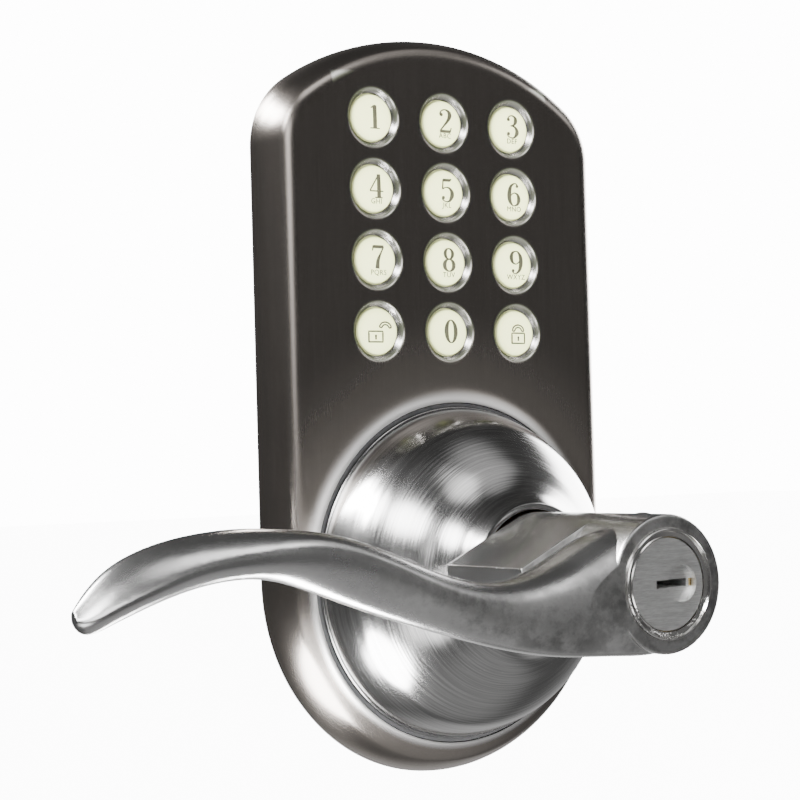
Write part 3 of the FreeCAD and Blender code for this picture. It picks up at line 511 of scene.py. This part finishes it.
DIGITS = {
    "1": [[(0, 0.02, 0.12), (0, 0.98, 0.12)],
          [(-0.15, 0.86, 0.03), (-0.05, 0.92, 0.05), (0.03, 0.985, 0.03)],
          [(-0.18, 0.015, 0.03), (0.18, 0.015, 0.03)]],
    "2": [smooth_path([(-0.2, 0.76, 0.04), (-0.15, 0.91, 0.035), (0, 0.98, 0.04), (0.15, 0.90, 0.10),
                       (0.19, 0.73, 0.13), (0.11, 0.52, 0.09), (-0.06, 0.28, 0.05), (-0.21, 0.07, 0.03)]),
          dot(-0.15, 0.76, 0.065), [(-0.22, 0.05, 0.1), (0.2, 0.05, 0.1)],
          [(0.2, 0.03, 0.03), (0.24, 0.22, 0.025)]],
    "3": [smooth_path([(-0.18, 0.82, 0.035), (-0.11, 0.94, 0.03), (0.02, 0.985, 0.035), (0.14, 0.90, 0.09),
                       (0.155, 0.74, 0.12), (0.08, 0.59, 0.06), (-0.06, 0.54, 0.03)]),
          smooth_path([(-0.06, 0.54, 0.03), (0.10, 0.50, 0.06), (0.195, 0.36, 0.11), (0.195, 0.21, 0.13),
                       (0.10, 0.05, 0.06), (-0.03, 0.015, 0.03), (-0.16, 0.07, 0.03), (-0.205, 0.18, 0.035)]),
          dot(-0.145, 0.81, 0.06), dot(-0.155, 0.19, 0.06)],
    "4": [[(0.08, 0.98, 0.03), (-0.26, 0.30, 0.03)], [(-0.27, 0.28, 0.035), (0.25, 0.28, 0.035)],
          [(0.08, 0.99, 0.11), (0.08, 0.02, 0.12)], [(-0.08, 0.015, 0.03), (0.22, 0.015, 0.03)]],
    "5": [[(-0.15, 0.93, 0.1), (0.10, 0.93, 0.1), (0.19, 0.99, 0.03)],
          [(-0.15, 0.96, 0.03), (-0.18, 0.54, 0.03)],
          smooth_path([(-0.18, 0.54, 0.03), (-0.05, 0.62, 0.03), (0.09, 0.59, 0.06), (0.19, 0.44, 0.11),
                       (0.19, 0.26, 0.13), (0.10, 0.06, 0.07), (-0.03, 0.015, 0.03), (-0.16, 0.07, 0.03),
                       (-0.205, 0.17, 0.035)]), dot(-0.155, 0.18, 0.06)],
    "6": [smooth_path([(0.18, 0.86, 0.03), (0.11, 0.965, 0.03), (0.01, 0.98, 0.04), (-0.13, 0.84, 0.09),
                       (-0.2, 0.55, 0.13), (-0.19, 0.24, 0.12), (-0.09, 0.04, 0.05), (0.01, 0.015, 0.03),
                       (0.14, 0.09, 0.08), (0.195, 0.29, 0.12), (0.15, 0.49, 0.08), (0.02, 0.57, 0.03),
                       (-0.10, 0.50, 0.03), (-0.16, 0.40, 0.03)]), dot(0.135, 0.86, 0.055)],
    "7": [[(-0.2, 0.93, 0.11), (0.2, 0.93, 0.11)], [(-0.2, 0.97, 0.03), (-0.23, 0.76, 0.025)],
          smooth_path([(0.2, 0.93, 0.03), (0.07, 0.64, 0.05), (-0.03, 0.36, 0.10), (-0.06, 0.02, 0.13)])],
    "8": [bowl(0, 0.755, 0.15, 0.225, 0.035, 0.10), bowl(0, 0.27, 0.185, 0.255, 0.035, 0.12)],
    "0": [bowl(0, 0.5, 0.185, 0.48, 0.03, 0.13)],
}
DIGITS["9"] = [[(-x, 1 - y, w) for x, y, w in stroke] for stroke in DIGITS["6"]]
BODY_LINE = [(x, y, 0.045) for x, y in ((-0.3, 0.02), (0.3, 0.02), (0.3, 0.46), (-0.3, 0.46), (-0.3, 0.0))]
KEYHOLE = [dot(0, 0.27, 0.045), [(0, 0.27, 0.04), (0, 0.12, 0.055)]]


def hoop(cx, cy, radius, start, sweep):
    return [(cx + radius * math.cos(a), cy + radius * math.sin(a), 0.04)
            for a in (math.radians(start + sweep * k / 16) for k in range(17))]


def shackle(cx, cy, start, sweep):
    """Double line of a padlock's bow, with its two closed ends."""
    outer, inner = hoop(cx, cy, 0.27, start, sweep), hoop(cx, cy, 0.16, start, sweep)
    return [outer, inner, [outer[0], inner[0]], [outer[-1], inner[-1]]]


DIGITS["lock"] = [BODY_LINE] + KEYHOLE + shackle(0, 0.55, 0, 180)
DIGITS["unlock"] = [BODY_LINE] + KEYHOLE + shackle(0.42, 0.58, 8, 160)


def add_stroke(bm, stations, place):
    """A thin raised ribbon along a stroke, closed all round; short strokes are divided to follow the crown."""
    if len(stations) < 6:
        stations = [tuple(p + (q - p) * k / 5 for p, q in zip(a, b))
                    for a, b in zip(stations, stations[1:]) for k in range(5)] + [stations[-1]]
    last = len(stations) - 1
    sections = []
    for i, (x, y, width) in enumerate(stations):
        before, after = stations[max(i - 1, 0)], stations[min(i + 1, last)]
        along = Vector((after[0] - before[0], after[1] - before[1]))
        if along.length < 1e-9:
            along = Vector((1, 0))
        side = Vector((-along.y, along.x)).normalized() * (width * 1.1 + 0.016) / 2
        corners = [(x + side.x, y + side.y), (x - side.x, y - side.y)]
        top = [bm.verts.new(place(u, v, INK_TOP)) for u, v in corners]
        low = [bm.verts.new(place(u, v, INK_FOOT)) for u, v in corners]
        sections.append((top[0], top[1], low[1], low[0]))
    for lower, upper in zip(sections, sections[1:]):
        bridge(bm, lower, upper)
    bm.faces.new(sections[0])
    bm.faces.new(tuple(reversed(sections[-1])))


def build_legend(name, x, z):
    """A digit or symbol printed on a cap's crown, higher up where letters stand below it."""
    buttons = settings("buttons")
    size = buttons.digit
    widen = 1.3 if name.isdigit() else 1.15
    shift_x = -0.14 * size if name == "unlock" else 0.55 * MM
    shift_z = -0.5 * size + (0.55 * MM if name in LETTERS else 0.15 * MM)

    def place(u, v, level):
        px, pz = u * size * widen + shift_x, v * size + shift_z
        return (px, pz, cap_height(buttons, math.hypot(px, pz)) + level)

    bm = bmesh.new()
    for stroke in DIGITS[name]:
        add_stroke(bm, stroke, place)
    return new_piece("legend_" + name, bm, 30, at_button(x, z))


def build_letters(name, x, z):
    """Small plain capitals under a digit."""
    buttons = settings("buttons")
    across, below = 0.45 * MM, -3.2 * MM
    curve = bpy.data.curves.new("letters", "FONT")
    curve.body = LETTERS[name]
    curve.size = buttons.letter * 1.38      # a font's size against the height of its capitals
    curve.align_x = "CENTER"
    curve.space_character = 1.1
    curve.extrude = INK_TOP
    curve.resolution_u = 3
    holder = bpy.data.objects.new("letters", curve)
    mesh = bpy.data.meshes.new_from_object(holder)
    bpy.data.objects.remove(holder)
    bm = bmesh.new()
    bm.from_mesh(mesh)
    bpy.data.meshes.remove(mesh)
    for vert in bm.verts:
        px, pz = vert.co.x + across, vert.co.y + below
        vert.co = (px, pz, cap_height(buttons, math.hypot(px, pz)) + vert.co.z)
    return new_piece("letters_" + name, bm, 30, at_button(x, z))


# Finishes


class Shade:
    """A socket of a node tree that takes part in arithmetic."""

    def __init__(self, tree, socket=None):
        self.tree = tree
        self.socket = socket

    def node(self, kind, settings=None, inputs=None, output=0):
        """Adds a node of any type: its settings first, then the values or links of its sockets."""
        made = self.tree.nodes.new("ShaderNode" + kind)
        for name, value in (settings or {}).items():
            setattr(made, name, value)
        for name, value in (inputs or {}).items():
            if isinstance(value, Shade):
                self.tree.links.new(value.socket, made.inputs[name])
            else:
                made.inputs[name].default_value = value
        return Shade(self.tree, made.outputs[output])

    def maths(self, operation, *values):
        return self.node("Math", {"operation": operation}, dict(enumerate(values)))

    def __add__(self, other):
        return self.maths("ADD", self, other)

    __radd__ = __add__

    def __sub__(self, other):
        return self.maths("SUBTRACT", self, other)

    def __rsub__(self, other):
        return self.maths("SUBTRACT", other, self)

    def __mul__(self, other):
        return self.maths("MULTIPLY", self, other)

    __rmul__ = __mul__

    def __pow__(self, other):
        return self.maths("POWER", self, other)

    def between(self, low, high):
        """Smooth step from 0 at low to 1 at high."""
        return self.node("MapRange", {"interpolation_type": "SMOOTHSTEP"}, {0: self, 1: low, 2: high})

    def mix(self, first, second):
        """Colour that goes from first to second with this value."""
        return self.node("Mix", {"data_type": "RGBA"}, {0: self, 6: first, 7: second}, 2)


def tone(rgb, share=1.0):
    """An opaque colour, made lighter or darker by a share."""
    return tuple(min(c * share, 1.0) for c in rgb) + (1.0,)


def new_material(name, roughness, metallic=0.0, **constants):
    """A material with a Principled shader whose plain numbers are set on its own sockets."""
    material = bpy.data.materials.new(name)
    material.use_nodes = True
    tree = material.node_tree
    shader = tree.nodes["Principled BSDF"]
    shader.inputs["Roughness"].default_value = roughness
    shader.inputs["Metallic"].default_value = metallic
    for key, value in constants.items():
        shader.inputs[key.replace("_", " ")].default_value = value
    return material, Shade(tree), shader


def wire(shade, shader, **links):
    for key, value in links.items():
        shade.tree.links.new(value.socket, shader.inputs[key.replace("_", " ")])


def own_coords(shade):
    """Place on the piece, in its own axes."""
    return shade.node("TexCoord", output=3)


def parts(shade, vector):
    """The x, y and z of a vector, from metres to millimetres."""
    return [shade.node("SeparateXYZ", {}, {0: vector}, axis) * PER_MM for axis in range(3)]


def dot_product(shade, first, second):
    return shade.node("VectorMath", {"operation": "DOT_PRODUCT"}, {0: first, 1: second}, 1)


def surface_normal(shade):
    return shade.node("NewGeometry", output=1)


def bump(shade, strength, height, distance=0.2, **links):
    """Small relief, with its height in millimetres."""
    return shade.node("Bump", {}, {"Strength": strength, "Distance": distance * MM, "Height": height, **links})


def stretched_noise(shade, coords, scale, stretch, detail=3.0, roughness=0.55):
    """Noise drawn out along an axis: stretch is the scale along x, y and z."""
    mapped = shade.node("Mapping", {}, {"Vector": coords, "Scale": stretch})
    return shade.node("TexNoise", {}, {"Vector": mapped, "Scale": scale, "Detail": detail,
                                       "Roughness": roughness})


def even_noise(shade, coords, scale, detail, roughness):
    return stretched_noise(shade, coords, scale, (1, 1, 1), detail, roughness)


def brushed_metal(name, rgb, roughness, stretch, grain, streak, mottle):
    """Metal with fine drawn lines, slow changes of sheen and faint handling marks."""
    material, shade, shader = new_material(name, roughness, 1.0)
    coords = own_coords(shade)
    lines = stretched_noise(shade, coords, 1.0, stretch, 2.0, 0.7)
    fine = stretched_noise(shade, coords, 2.7, stretch, 1.0, 0.6)
    cloud = even_noise(shade, coords, 90.0, 5.0, 0.6)
    tint = (lines * 0.6 + fine * 0.4 + cloud * mottle).between(0.25, 0.85)
    wire(shade, shader,
         Base_Color=tint.mix(tone(rgb, 1 - streak), tone(rgb, 1 + streak)),
         Roughness=(lines - 0.5) * (0.8 * streak) + (cloud - 0.5) * (2.0 * mottle) + roughness,
         Normal=bump(shade, grain, lines * 0.5 + fine * 0.5))
    return material


def plain_material(name, rgb, roughness, metallic=0.0, scale=900.0, depth=0.15, vary=0.12, **constants):
    """Cast, moulded or plated surface with a fine tooth."""
    material, shade, shader = new_material(name, roughness, metallic, **constants)
    coords = own_coords(shade)
    tooth = even_noise(shade, coords, scale, 4.0, 0.6)
    cloud = even_noise(shade, coords, scale / 9, 3.0, 0.5)
    wire(shade, shader,
         Base_Color=(tooth * 0.5 + cloud * 0.5).between(0.3, 0.7).mix(tone(rgb, 1 - vary), tone(rgb, 1 + vary)),
         Roughness=(cloud - 0.5) * 0.3 + roughness,
         Normal=bump(shade, depth, tooth))
    return material


def plate_metal(rgb):
    """Dark satin nickel, brushed up and down, with painted highlights along the raised collar, on the face
    round it and in the key dishes, a painted glow of the lit caps in the dishes, and walls painted lighter than
    the face.
    """
    # Its emission is a painted glow of the lit caps in the key dishes
    material, shade, shader = new_material("dark_satin_nickel", 0.24, 1.0, Anisotropic=0.4,
                                           Emission_Strength=0.32)
    coords = own_coords(shade)
    lines = stretched_noise(shade, coords, 1.0, (4200, 4200, 55), 3.0, 0.7)
    broad = stretched_noise(shade, coords, 1.0, (420, 420, 14), 3.0, 0.6)
    cloud = even_noise(shade, coords, 45.0, 3.0, 0.5)
    x, y, z = parts(shade, coords)
    facing = dot_product(shade, surface_normal(shade), (0.0, -1.0, 0.0)).between(0.8, 0.97)
    # Masks in millimetres: the collar's crest and the face near the collar, which carry painted highlights, the
    # keypad's field, and its dishes, which carry a painted highlight and a painted glow of the caps
    crest = y.between(-9.4, -10.35)
    painted_halo = ((x * x + z * z) ** 0.5).between(58.0, 38.0) * facing
    keypad = (x * x).between(800.0, 760.0) * z.between(42.0, 43.0) * z.between(106.0, 105.0)
    dish = y.between(-9.27, -9.0) * keypad
    glow = dish * y.between(-8.0, -9.1)
    # Brushed grain with painted sheen: the walls, which face away from the front, are painted lighter than the
    # face
    grain = ((lines * 0.7 + broad * 0.3).between(0.25, 0.8) * 0.3 + facing * -0.7 + 0.7).mix(
        tone(rgb, 0.92), tone(rgb, 1.75))
    # Painted highlight: the face round the collar is lightened
    grain_and_painted_sheen = (painted_halo * 0.5).mix(grain, tone(rgb, 2.6))
    # Painted highlights on the collar's crest and in the key dishes
    wire(shade, shader,
         # Painted olive glow of the lit caps in the key dishes
         Emission_Color=glow.mix((0, 0, 0, 1), (0.46, 0.52, 0.30, 1)),
         Base_Color=(crest * 0.9 + dish * 0.5).mix(grain_and_painted_sheen, (0.86, 0.85, 0.84, 1)),
         Roughness=(lines - 0.5) * 0.05 + (cloud - 0.5) * 0.05 + painted_halo * 0.07 + crest * 0.10 + 0.235,
         Normal=bump(shade, 0.05, lines))
    return material


def worn_lever_metal(rgb):
    """Satin casting, polished by hands: cloudy dark patches, small pits and bright worn edges."""
    material, shade, shader = new_material("worn_satin_nickel", 0.3, 1.0)
    coords = own_coords(shade)
    cloud = even_noise(shade, coords, 210.0, 6.0, 0.62)
    blotch = even_noise(shade, coords, 75.0, 3.0, 0.5)
    lines = stretched_noise(shade, coords, 1.0, (90, 900, 1400), 2.0, 0.6)
    pits = shade.node("TexVoronoi", {}, {"Vector": coords, "Scale": 620.0}).between(0.20, 0.05)
    softened = shade.node("Bevel", {"samples": 6}, {"Radius": 0.45 * MM})
    facing = dot_product(shade, surface_normal(shade), (0.0, -1.0, 0.0))
    edge = dot_product(shade, surface_normal(shade), softened).between(0.998, 0.95)
    along, _, _ = parts(shade, coords)
    worn = facing.between(0.55, 0.95) * along.between(-80.0, -35.0)
    dark = worn * (cloud.between(0.36, 0.64) * 0.62 + blotch.between(0.4, 0.62) * 0.38) * (1 - edge)
    rough = worn * 0.16 + (blotch - 0.5) * 0.12 + (lines - 0.5) * 0.05 + worn * (cloud - 0.5) * 0.35 + 0.23
    relief = lines * 0.25 + cloud * worn * 0.4 - pits * cloud.between(0.45, 0.7) * worn * 0.8
    wire(shade, shader,
         Base_Color=dark.mix(tone(rgb, 1.1), tone(rgb, 0.36)),
         Roughness=rough - edge * 0.08,
         Normal=bump(shade, 0.16, relief, Normal=softened))
    return material


def rose_metal(rgb):
    """Spun nickel, brushed round its axis; the piece's own z axis is that of the rose."""
    material, shade, shader = new_material("spun_satin_nickel", 0.16, 1.0, Anisotropic=0.2)
    coords = own_coords(shade)
    x, y, z = parts(shade, coords)
    radius = (x * x + y * y) ** 0.5
    turned = shade.node("CombineXYZ", {}, {
        0: radius * 2.6, 1: z * 2.6, 2: shade.maths("ARCTAN2", y, x) * 1.5})
    rings = shade.node("TexNoise", {}, {"Vector": turned, "Scale": 1.0, "Detail": 3.0})
    cloud = even_noise(shade, coords, 60.0, 4.0, 0.6)
    wire(shade, shader,
         Base_Color=rings.between(0.3, 0.7).mix(tone(rgb, 0.86), tone(rgb, 1.1)),
         Roughness=(rings - 0.5) * 0.08 + (cloud - 0.5) * 0.05 + 0.17,
         Normal=bump(shade, 0.08, rings))
    return material


def lit_cap_material(rgb):
    """Milky plastic lit from behind, brightest in its middle, with painted shade that makes it greener and
    dimmer at its edge and dims its sides down in the key's recess.
    """
    material, shade, shader = new_material("lit_cap", 0.32, 0.0, Emission_Strength=0.55, Coat_Weight=0.25,
                                           Coat_Roughness=0.2)
    coords = own_coords(shade)
    x, y, z = parts(shade, coords)
    # Painted shade towards the rim: a greener, dimmer glow and a darker colour
    edge = ((x * x + y * y) ** 0.5).between(3.4, 4.95)
    # Painted shade on the cap's sides down in the key's recess
    painted_recess_shade = z.between(-0.75, -1.6)
    tooth = even_noise(shade, coords, 700.0, 3.0, 0.6)
    glow = edge.mix(tone((0.86, 0.92, 0.46)), tone((0.58, 0.66, 0.26)))
    wire(shade, shader,
         Base_Color=(edge * 0.6 + tooth * 0.3).mix(tone(rgb), tone(rgb, 0.8)),
         Emission_Color=painted_recess_shade.mix(glow, tone((0.22, 0.23, 0.13))),
         Roughness=(tooth - 0.5) * 0.15 + 0.32,
         Normal=bump(shade, 0.06, tooth, 0.1))
    return material


def ring_metal(rgb):
    """Bright plated ring with a few small dents and worn spots, most of them low down."""
    material, shade, shader = new_material("bright_ring_nickel", 0.14, 1.0)
    coords = own_coords(shade)
    spots = even_noise(shade, coords, 420.0, 4.0, 0.6).between(0.5, 0.72)
    _, _, height = parts(shade, coords)
    wear = spots * height.between(2.0, -9.0)
    wire(shade, shader,
         Base_Color=wear.mix(tone(rgb), tone(rgb, 0.35)),
         Roughness=wear * 0.4 + 0.13,
         Normal=bump(shade, 0.5, wear * -1.0, 0.3))
    return material


def make_finishes():
    """Every finish by the record's slot name."""
    finish = settings("finish")
    return {
        "satin_nickel_plate": plate_metal(finish.plate),
        "satin_nickel": rose_metal(finish.rose),
        "satin_nickel_worn": worn_lever_metal(finish.lever),
        "bright_nickel": ring_metal((0.74, 0.73, 0.71)),
        "brushed_nickel": brushed_metal("plug_nickel", (0.80, 0.80, 0.79), 0.46, (260, 900, 4200), 0.25,
                                        0.22, 0.06),
        "backlit_caps": lit_cap_material(finish.cap),
        "black_rubber": plain_material("black_rubber", (0.025, 0.025, 0.026), 0.6),
        "foam": plain_material("closed_cell_foam", (0.045, 0.045, 0.047), 0.85, 0.0, 2600.0, 0.9, 0.3),
        "silicone": plain_material("milky_silicone", (0.70, 0.70, 0.66), 0.5),
        "zinc_steel": brushed_metal("zinc_plate", (0.60, 0.60, 0.585), 0.34, (700, 700, 120), 0.10, 0.10, 0.2),
        "spring_steel": plain_material("oiled_spring_steel", (0.30, 0.30, 0.31), 0.3, 1.0),
        "bronze": plain_material("sintered_bronze", (0.48, 0.33, 0.17), 0.42, 1.0, 3000.0, 0.5, 0.25),
        "cylinder_brass": brushed_metal("turned_brass", (0.72, 0.55, 0.27), 0.24, (900, 120, 900), 0.1,
                                        0.1, 0.1),
        "circuit_board": plain_material("solder_mask", (0.02, 0.13, 0.055), 0.3, 0.0, 500.0, 0.1),
        "gold_contacts": plain_material("gold_pads", (0.83, 0.62, 0.28), 0.25, 1.0),
        "lamp": plain_material("clear_lamp", (0.88, 0.90, 0.78), 0.15),
        "black_plastic": plain_material("black_plastic", (0.03, 0.03, 0.034), 0.42),
        "white_plastic": plain_material("white_nylon", (0.78, 0.77, 0.72), 0.45),
    }


MADE_FINISHES = {}


def finish_for(slot_name):
    if not MADE_FINISHES:
        MADE_FINISHES.update(make_finishes())
    return MADE_FINISHES[slot_name]


def ink_material(name, rgb):
    return plain_material(name, rgb, 0.55, 0.0, 1500.0, 0.1, 0.2)


# The stage


def add_camera(stage):
    """Looks at the lock from the front and the left, level with the lever."""
    place = Vector((-240.907, -346.046, 25.711)) * MM
    forward = Vector((0.55948, 0.82840, 0.02717)).normalized()
    right = Vector((0.82880, -0.55883, -0.02815)).normalized()
    up = right.cross(forward).normalized()
    data = bpy.data.cameras.new("camera")
    data.lens = stage.lens
    data.sensor_width = 36.0
    data.clip_start = 0.01
    camera = bpy.data.objects.new("camera", data)
    camera.matrix_world = Matrix.Translation(place) @ Matrix((right, up, -forward)).transposed().to_4x4()
    bpy.context.scene.collection.objects.link(camera)
    bpy.context.scene.camera = camera


def add_floor(stage):
    """White floor below the foot of the plate, which the metal doesn't mirror."""
    bm = bmesh.new()
    bmesh.ops.create_grid(bm, x_segments=24, y_segments=24, size=6.0)
    floor = new_piece("floor", bm)
    floor.location = (0, 0, CAD_BOX[0][2] - stage.floor_drop)
    floor.data.materials.append(plain_material("pale_floor", settings("finish").floor, 0.7, 0.0, 40.0, 0.02,
                                               0.01, Emission_Color=(1, 1, 1, 1), Emission_Strength=9.0))
    floor.visible_glossy = False


SOFT_BOXES = (
    # azimuth from the front towards the right, elevation, inner and outer angle in degrees, brightness
    (-146.0, 42.0, 5.0, 12.0, 40.0),     # band across the upper left, from behind to the front
    (-120.0, 43.0, 6.0, 13.0, 55.0),
    (-94.0, 41.0, 6.0, 13.0, 50.0),
    (-68.0, 40.0, 4.0, 12.0, 24.0),
    (-42.0, 33.0, 4.0, 12.0, 22.0),      # left of the front, raised
    (-20.0, 14.0, 3.0, 15.0, 5.0),       # left of the front
    (-30.0, -30.0, 6.0, 16.0, 4.5),      # left of the front, low
    (6.0, 50.0, 3.0, 14.0, 3.2),         # in front, high
    (40.0, 50.0, 6.0, 24.0, 0.7),        # right of the front, high and dim
    (34.0, 0.0, 4.0, 34.0, 0.11),        # right of the front, dim
    (114.0, 9.0, 12.0, 24.0, 18.0),      # behind, on the right
    (60.0, 27.0, 3.0, 12.0, 3.0),        # right
    (40.0, -62.0, 10.0, 40.0, 0.25),     # low on the right
    (150.0, -30.0, 10.0, 40.0, 0.5),     # behind, low
)


def aim(azimuth, elevation):
    """Direction towards a soft box."""
    a, e = math.radians(azimuth), math.radians(elevation)
    return Vector((math.sin(a) * math.cos(e), -math.cos(a) * math.cos(e), math.sin(e)))


def add_low_lamp():
    """A small soft lamp under the lever, on the left, that only the rose and the arm's underside catch."""
    data = bpy.data.lights.new("low_lamp", "AREA")
    data.shape = "DISK"
    data.size = 60 * MM
    data.energy = 0.28
    lamp = bpy.data.objects.new("low_lamp", data)
    place, target = Vector((-63, -29, -66)) * MM, Vector((-24, -20, -20)) * MM
    turn = (target - place).to_track_quat("-Z", "Y")
    lamp.matrix_world = Matrix.Translation(place) @ turn.to_matrix().to_4x4()
    lamp.visible_camera = False
    bpy.context.scene.collection.objects.link(lamp)


def light_world():
    """A dark studio with soft boxes, a little lighter below; what shows behind the lock is plain white."""
    world = bpy.data.worlds.new("studio")
    bpy.context.scene.world = world
    world.use_nodes = True
    tree = world.node_tree
    tree.nodes.clear()
    shade = Shade(tree)
    direction = shade.node("TexCoord", output=0)
    below = dot_product(shade, direction, (0.0, 0.0, -1.0))
    total = below.between(-0.3, 0.7) * 0.07 + 0.06
    for azimuth, elevation, inner, outer, strength in SOFT_BOXES:
        facing = dot_product(shade, direction, aim(azimuth, elevation))
        total = total + facing.between(math.cos(math.radians(outer)), math.cos(math.radians(inner))) * strength
    seen = shade.node("LightPath", output=0)
    studio = shade.node("Background", {}, {"Color": (1, 1, 1, 1), "Strength": total})
    backdrop = shade.node("Background", {}, {"Color": (1, 1, 1, 1), "Strength": 14.0})
    both = shade.node("MixShader", {}, {0: seen, 1: studio, 2: backdrop})
    tree.links.new(both.socket, tree.nodes.new("ShaderNodeOutputWorld").inputs["Surface"])


# Operators, one for each piece or group of like pieces


class LOCK_OT_plate(bpy.types.Operator):
    """Build the arched plate shell"""
    bl_idname = "lock.plate"
    bl_label = "Plate"

    def execute(self, context):
        metal = finish_for("satin_nickel_plate")
        finish_piece(build_plate(), "trim", "satin_nickel_plate", metal, "escutcheon")
        return {"FINISHED"}


class LOCK_OT_seals(bpy.types.Operator):
    """Build the foam gasket behind the plate and the rubber seal round the rose"""
    bl_idname = "lock.seals"
    bl_label = "Gasket and seal"

    def execute(self, context):
        gasket = finish_piece(build_gasket(), "trim", "foam", finish_for("foam"), "rear_gasket")
        finish_piece(build_seal(), "trim", "black_rubber", finish_for("black_rubber"), "rose_seal")
        return {"FINISHED"}


class LOCK_OT_rose(bpy.types.Operator):
    """Build the spun rose round the lever's neck"""
    bl_idname = "lock.rose"
    bl_label = "Rose"

    def execute(self, context):
        finish_piece(build_rose(), "trim", "satin_nickel", finish_for("satin_nickel"), "rose_dome")
        return {"FINISHED"}


class LOCK_OT_buttons(bpy.types.Operator):
    """Build the twelve lit caps and their printed characters"""
    bl_idname = "lock.buttons"
    bl_label = "Buttons"

    def execute(self, context):
        finish = settings("finish")
        ink, letter_ink = ink_material("olive_ink", finish.ink), ink_material("grey_ink", finish.letter_ink)
        for name, x, z in button_places(settings("buttons")):
            body = "button_" + name
            cap = finish_piece(build_cap(name, x, z), body, "backlit_caps", finish_for("backlit_caps"), body)
            cap.visible_glossy = False
            finish_piece(build_legend(name, x, z), body, "black_plastic", ink)
            if name in LETTERS:
                finish_piece(build_letters(name, x, z), body, "black_plastic", letter_ink)
        return {"FINISHED"}


class LOCK_OT_hardware(bpy.types.Operator):
    """Give every piece that keeps its CAD shape its own finish"""
    bl_idname = "lock.hardware"
    bl_label = "Metalwork and inner parts"

    def execute(self, context):
        slots = {row["node"]: row["material_slot"] for row in frame["record"]["subparts"]}
        for name, piece in frame["nodes"].items():
            if not piece.hide_render:
                for place in piece.material_slots:
                    place.material = finish_for(slots[name])
        return {"FINISHED"}


class LOCK_OT_stage(bpy.types.Operator):
    """Set up the floor, the light and the camera"""
    bl_idname = "lock.stage"
    bl_label = "Stage"

    def execute(self, context):
        stage = settings("stage")
        add_floor(stage)
        light_world()
        add_low_lamp()
        add_camera(stage)
        return {"FINISHED"}


OPERATORS = (LOCK_OT_plate, LOCK_OT_seals, LOCK_OT_rose, LOCK_OT_buttons, LOCK_OT_hardware, LOCK_OT_stage)


class LOCK_PT_panel(bpy.types.Panel):
    """Lists the pieces of the lock trim"""
    bl_label = "Lock trim"
    bl_idname = "LOCK_PT_panel"
    bl_space_type = "VIEW_3D"
    bl_region_type = "UI"
    bl_category = "Lock trim"

    def draw(self, context):
        for operator in OPERATORS:
            self.layout.operator(operator.bl_idname)


GROUPS = {"lock_plate": PlateSettings, "lock_rose": RoseSettings, "lock_buttons": ButtonSettings,
          "lock_finish": FinishSettings, "lock_stage": StageSettings}


def register():
    for cls in (*GROUPS.values(), *OPERATORS, LOCK_PT_panel):
        bpy.utils.register_class(cls)
    for name, group in GROUPS.items():
        setattr(bpy.types.Scene, name, PointerProperty(type=group))


def unregister():
    for name in GROUPS:
        delattr(bpy.types.Scene, name)
    for cls in (LOCK_PT_panel, *reversed(OPERATORS), *reversed(GROUPS.values())):
        bpy.utils.unregister_class(cls)


def main():
    register()
    for operator in OPERATORS:
        group, name = operator.bl_idname.split(".")
        getattr(getattr(bpy.ops, group), name)()


if __name__ == "__main__":
    main()
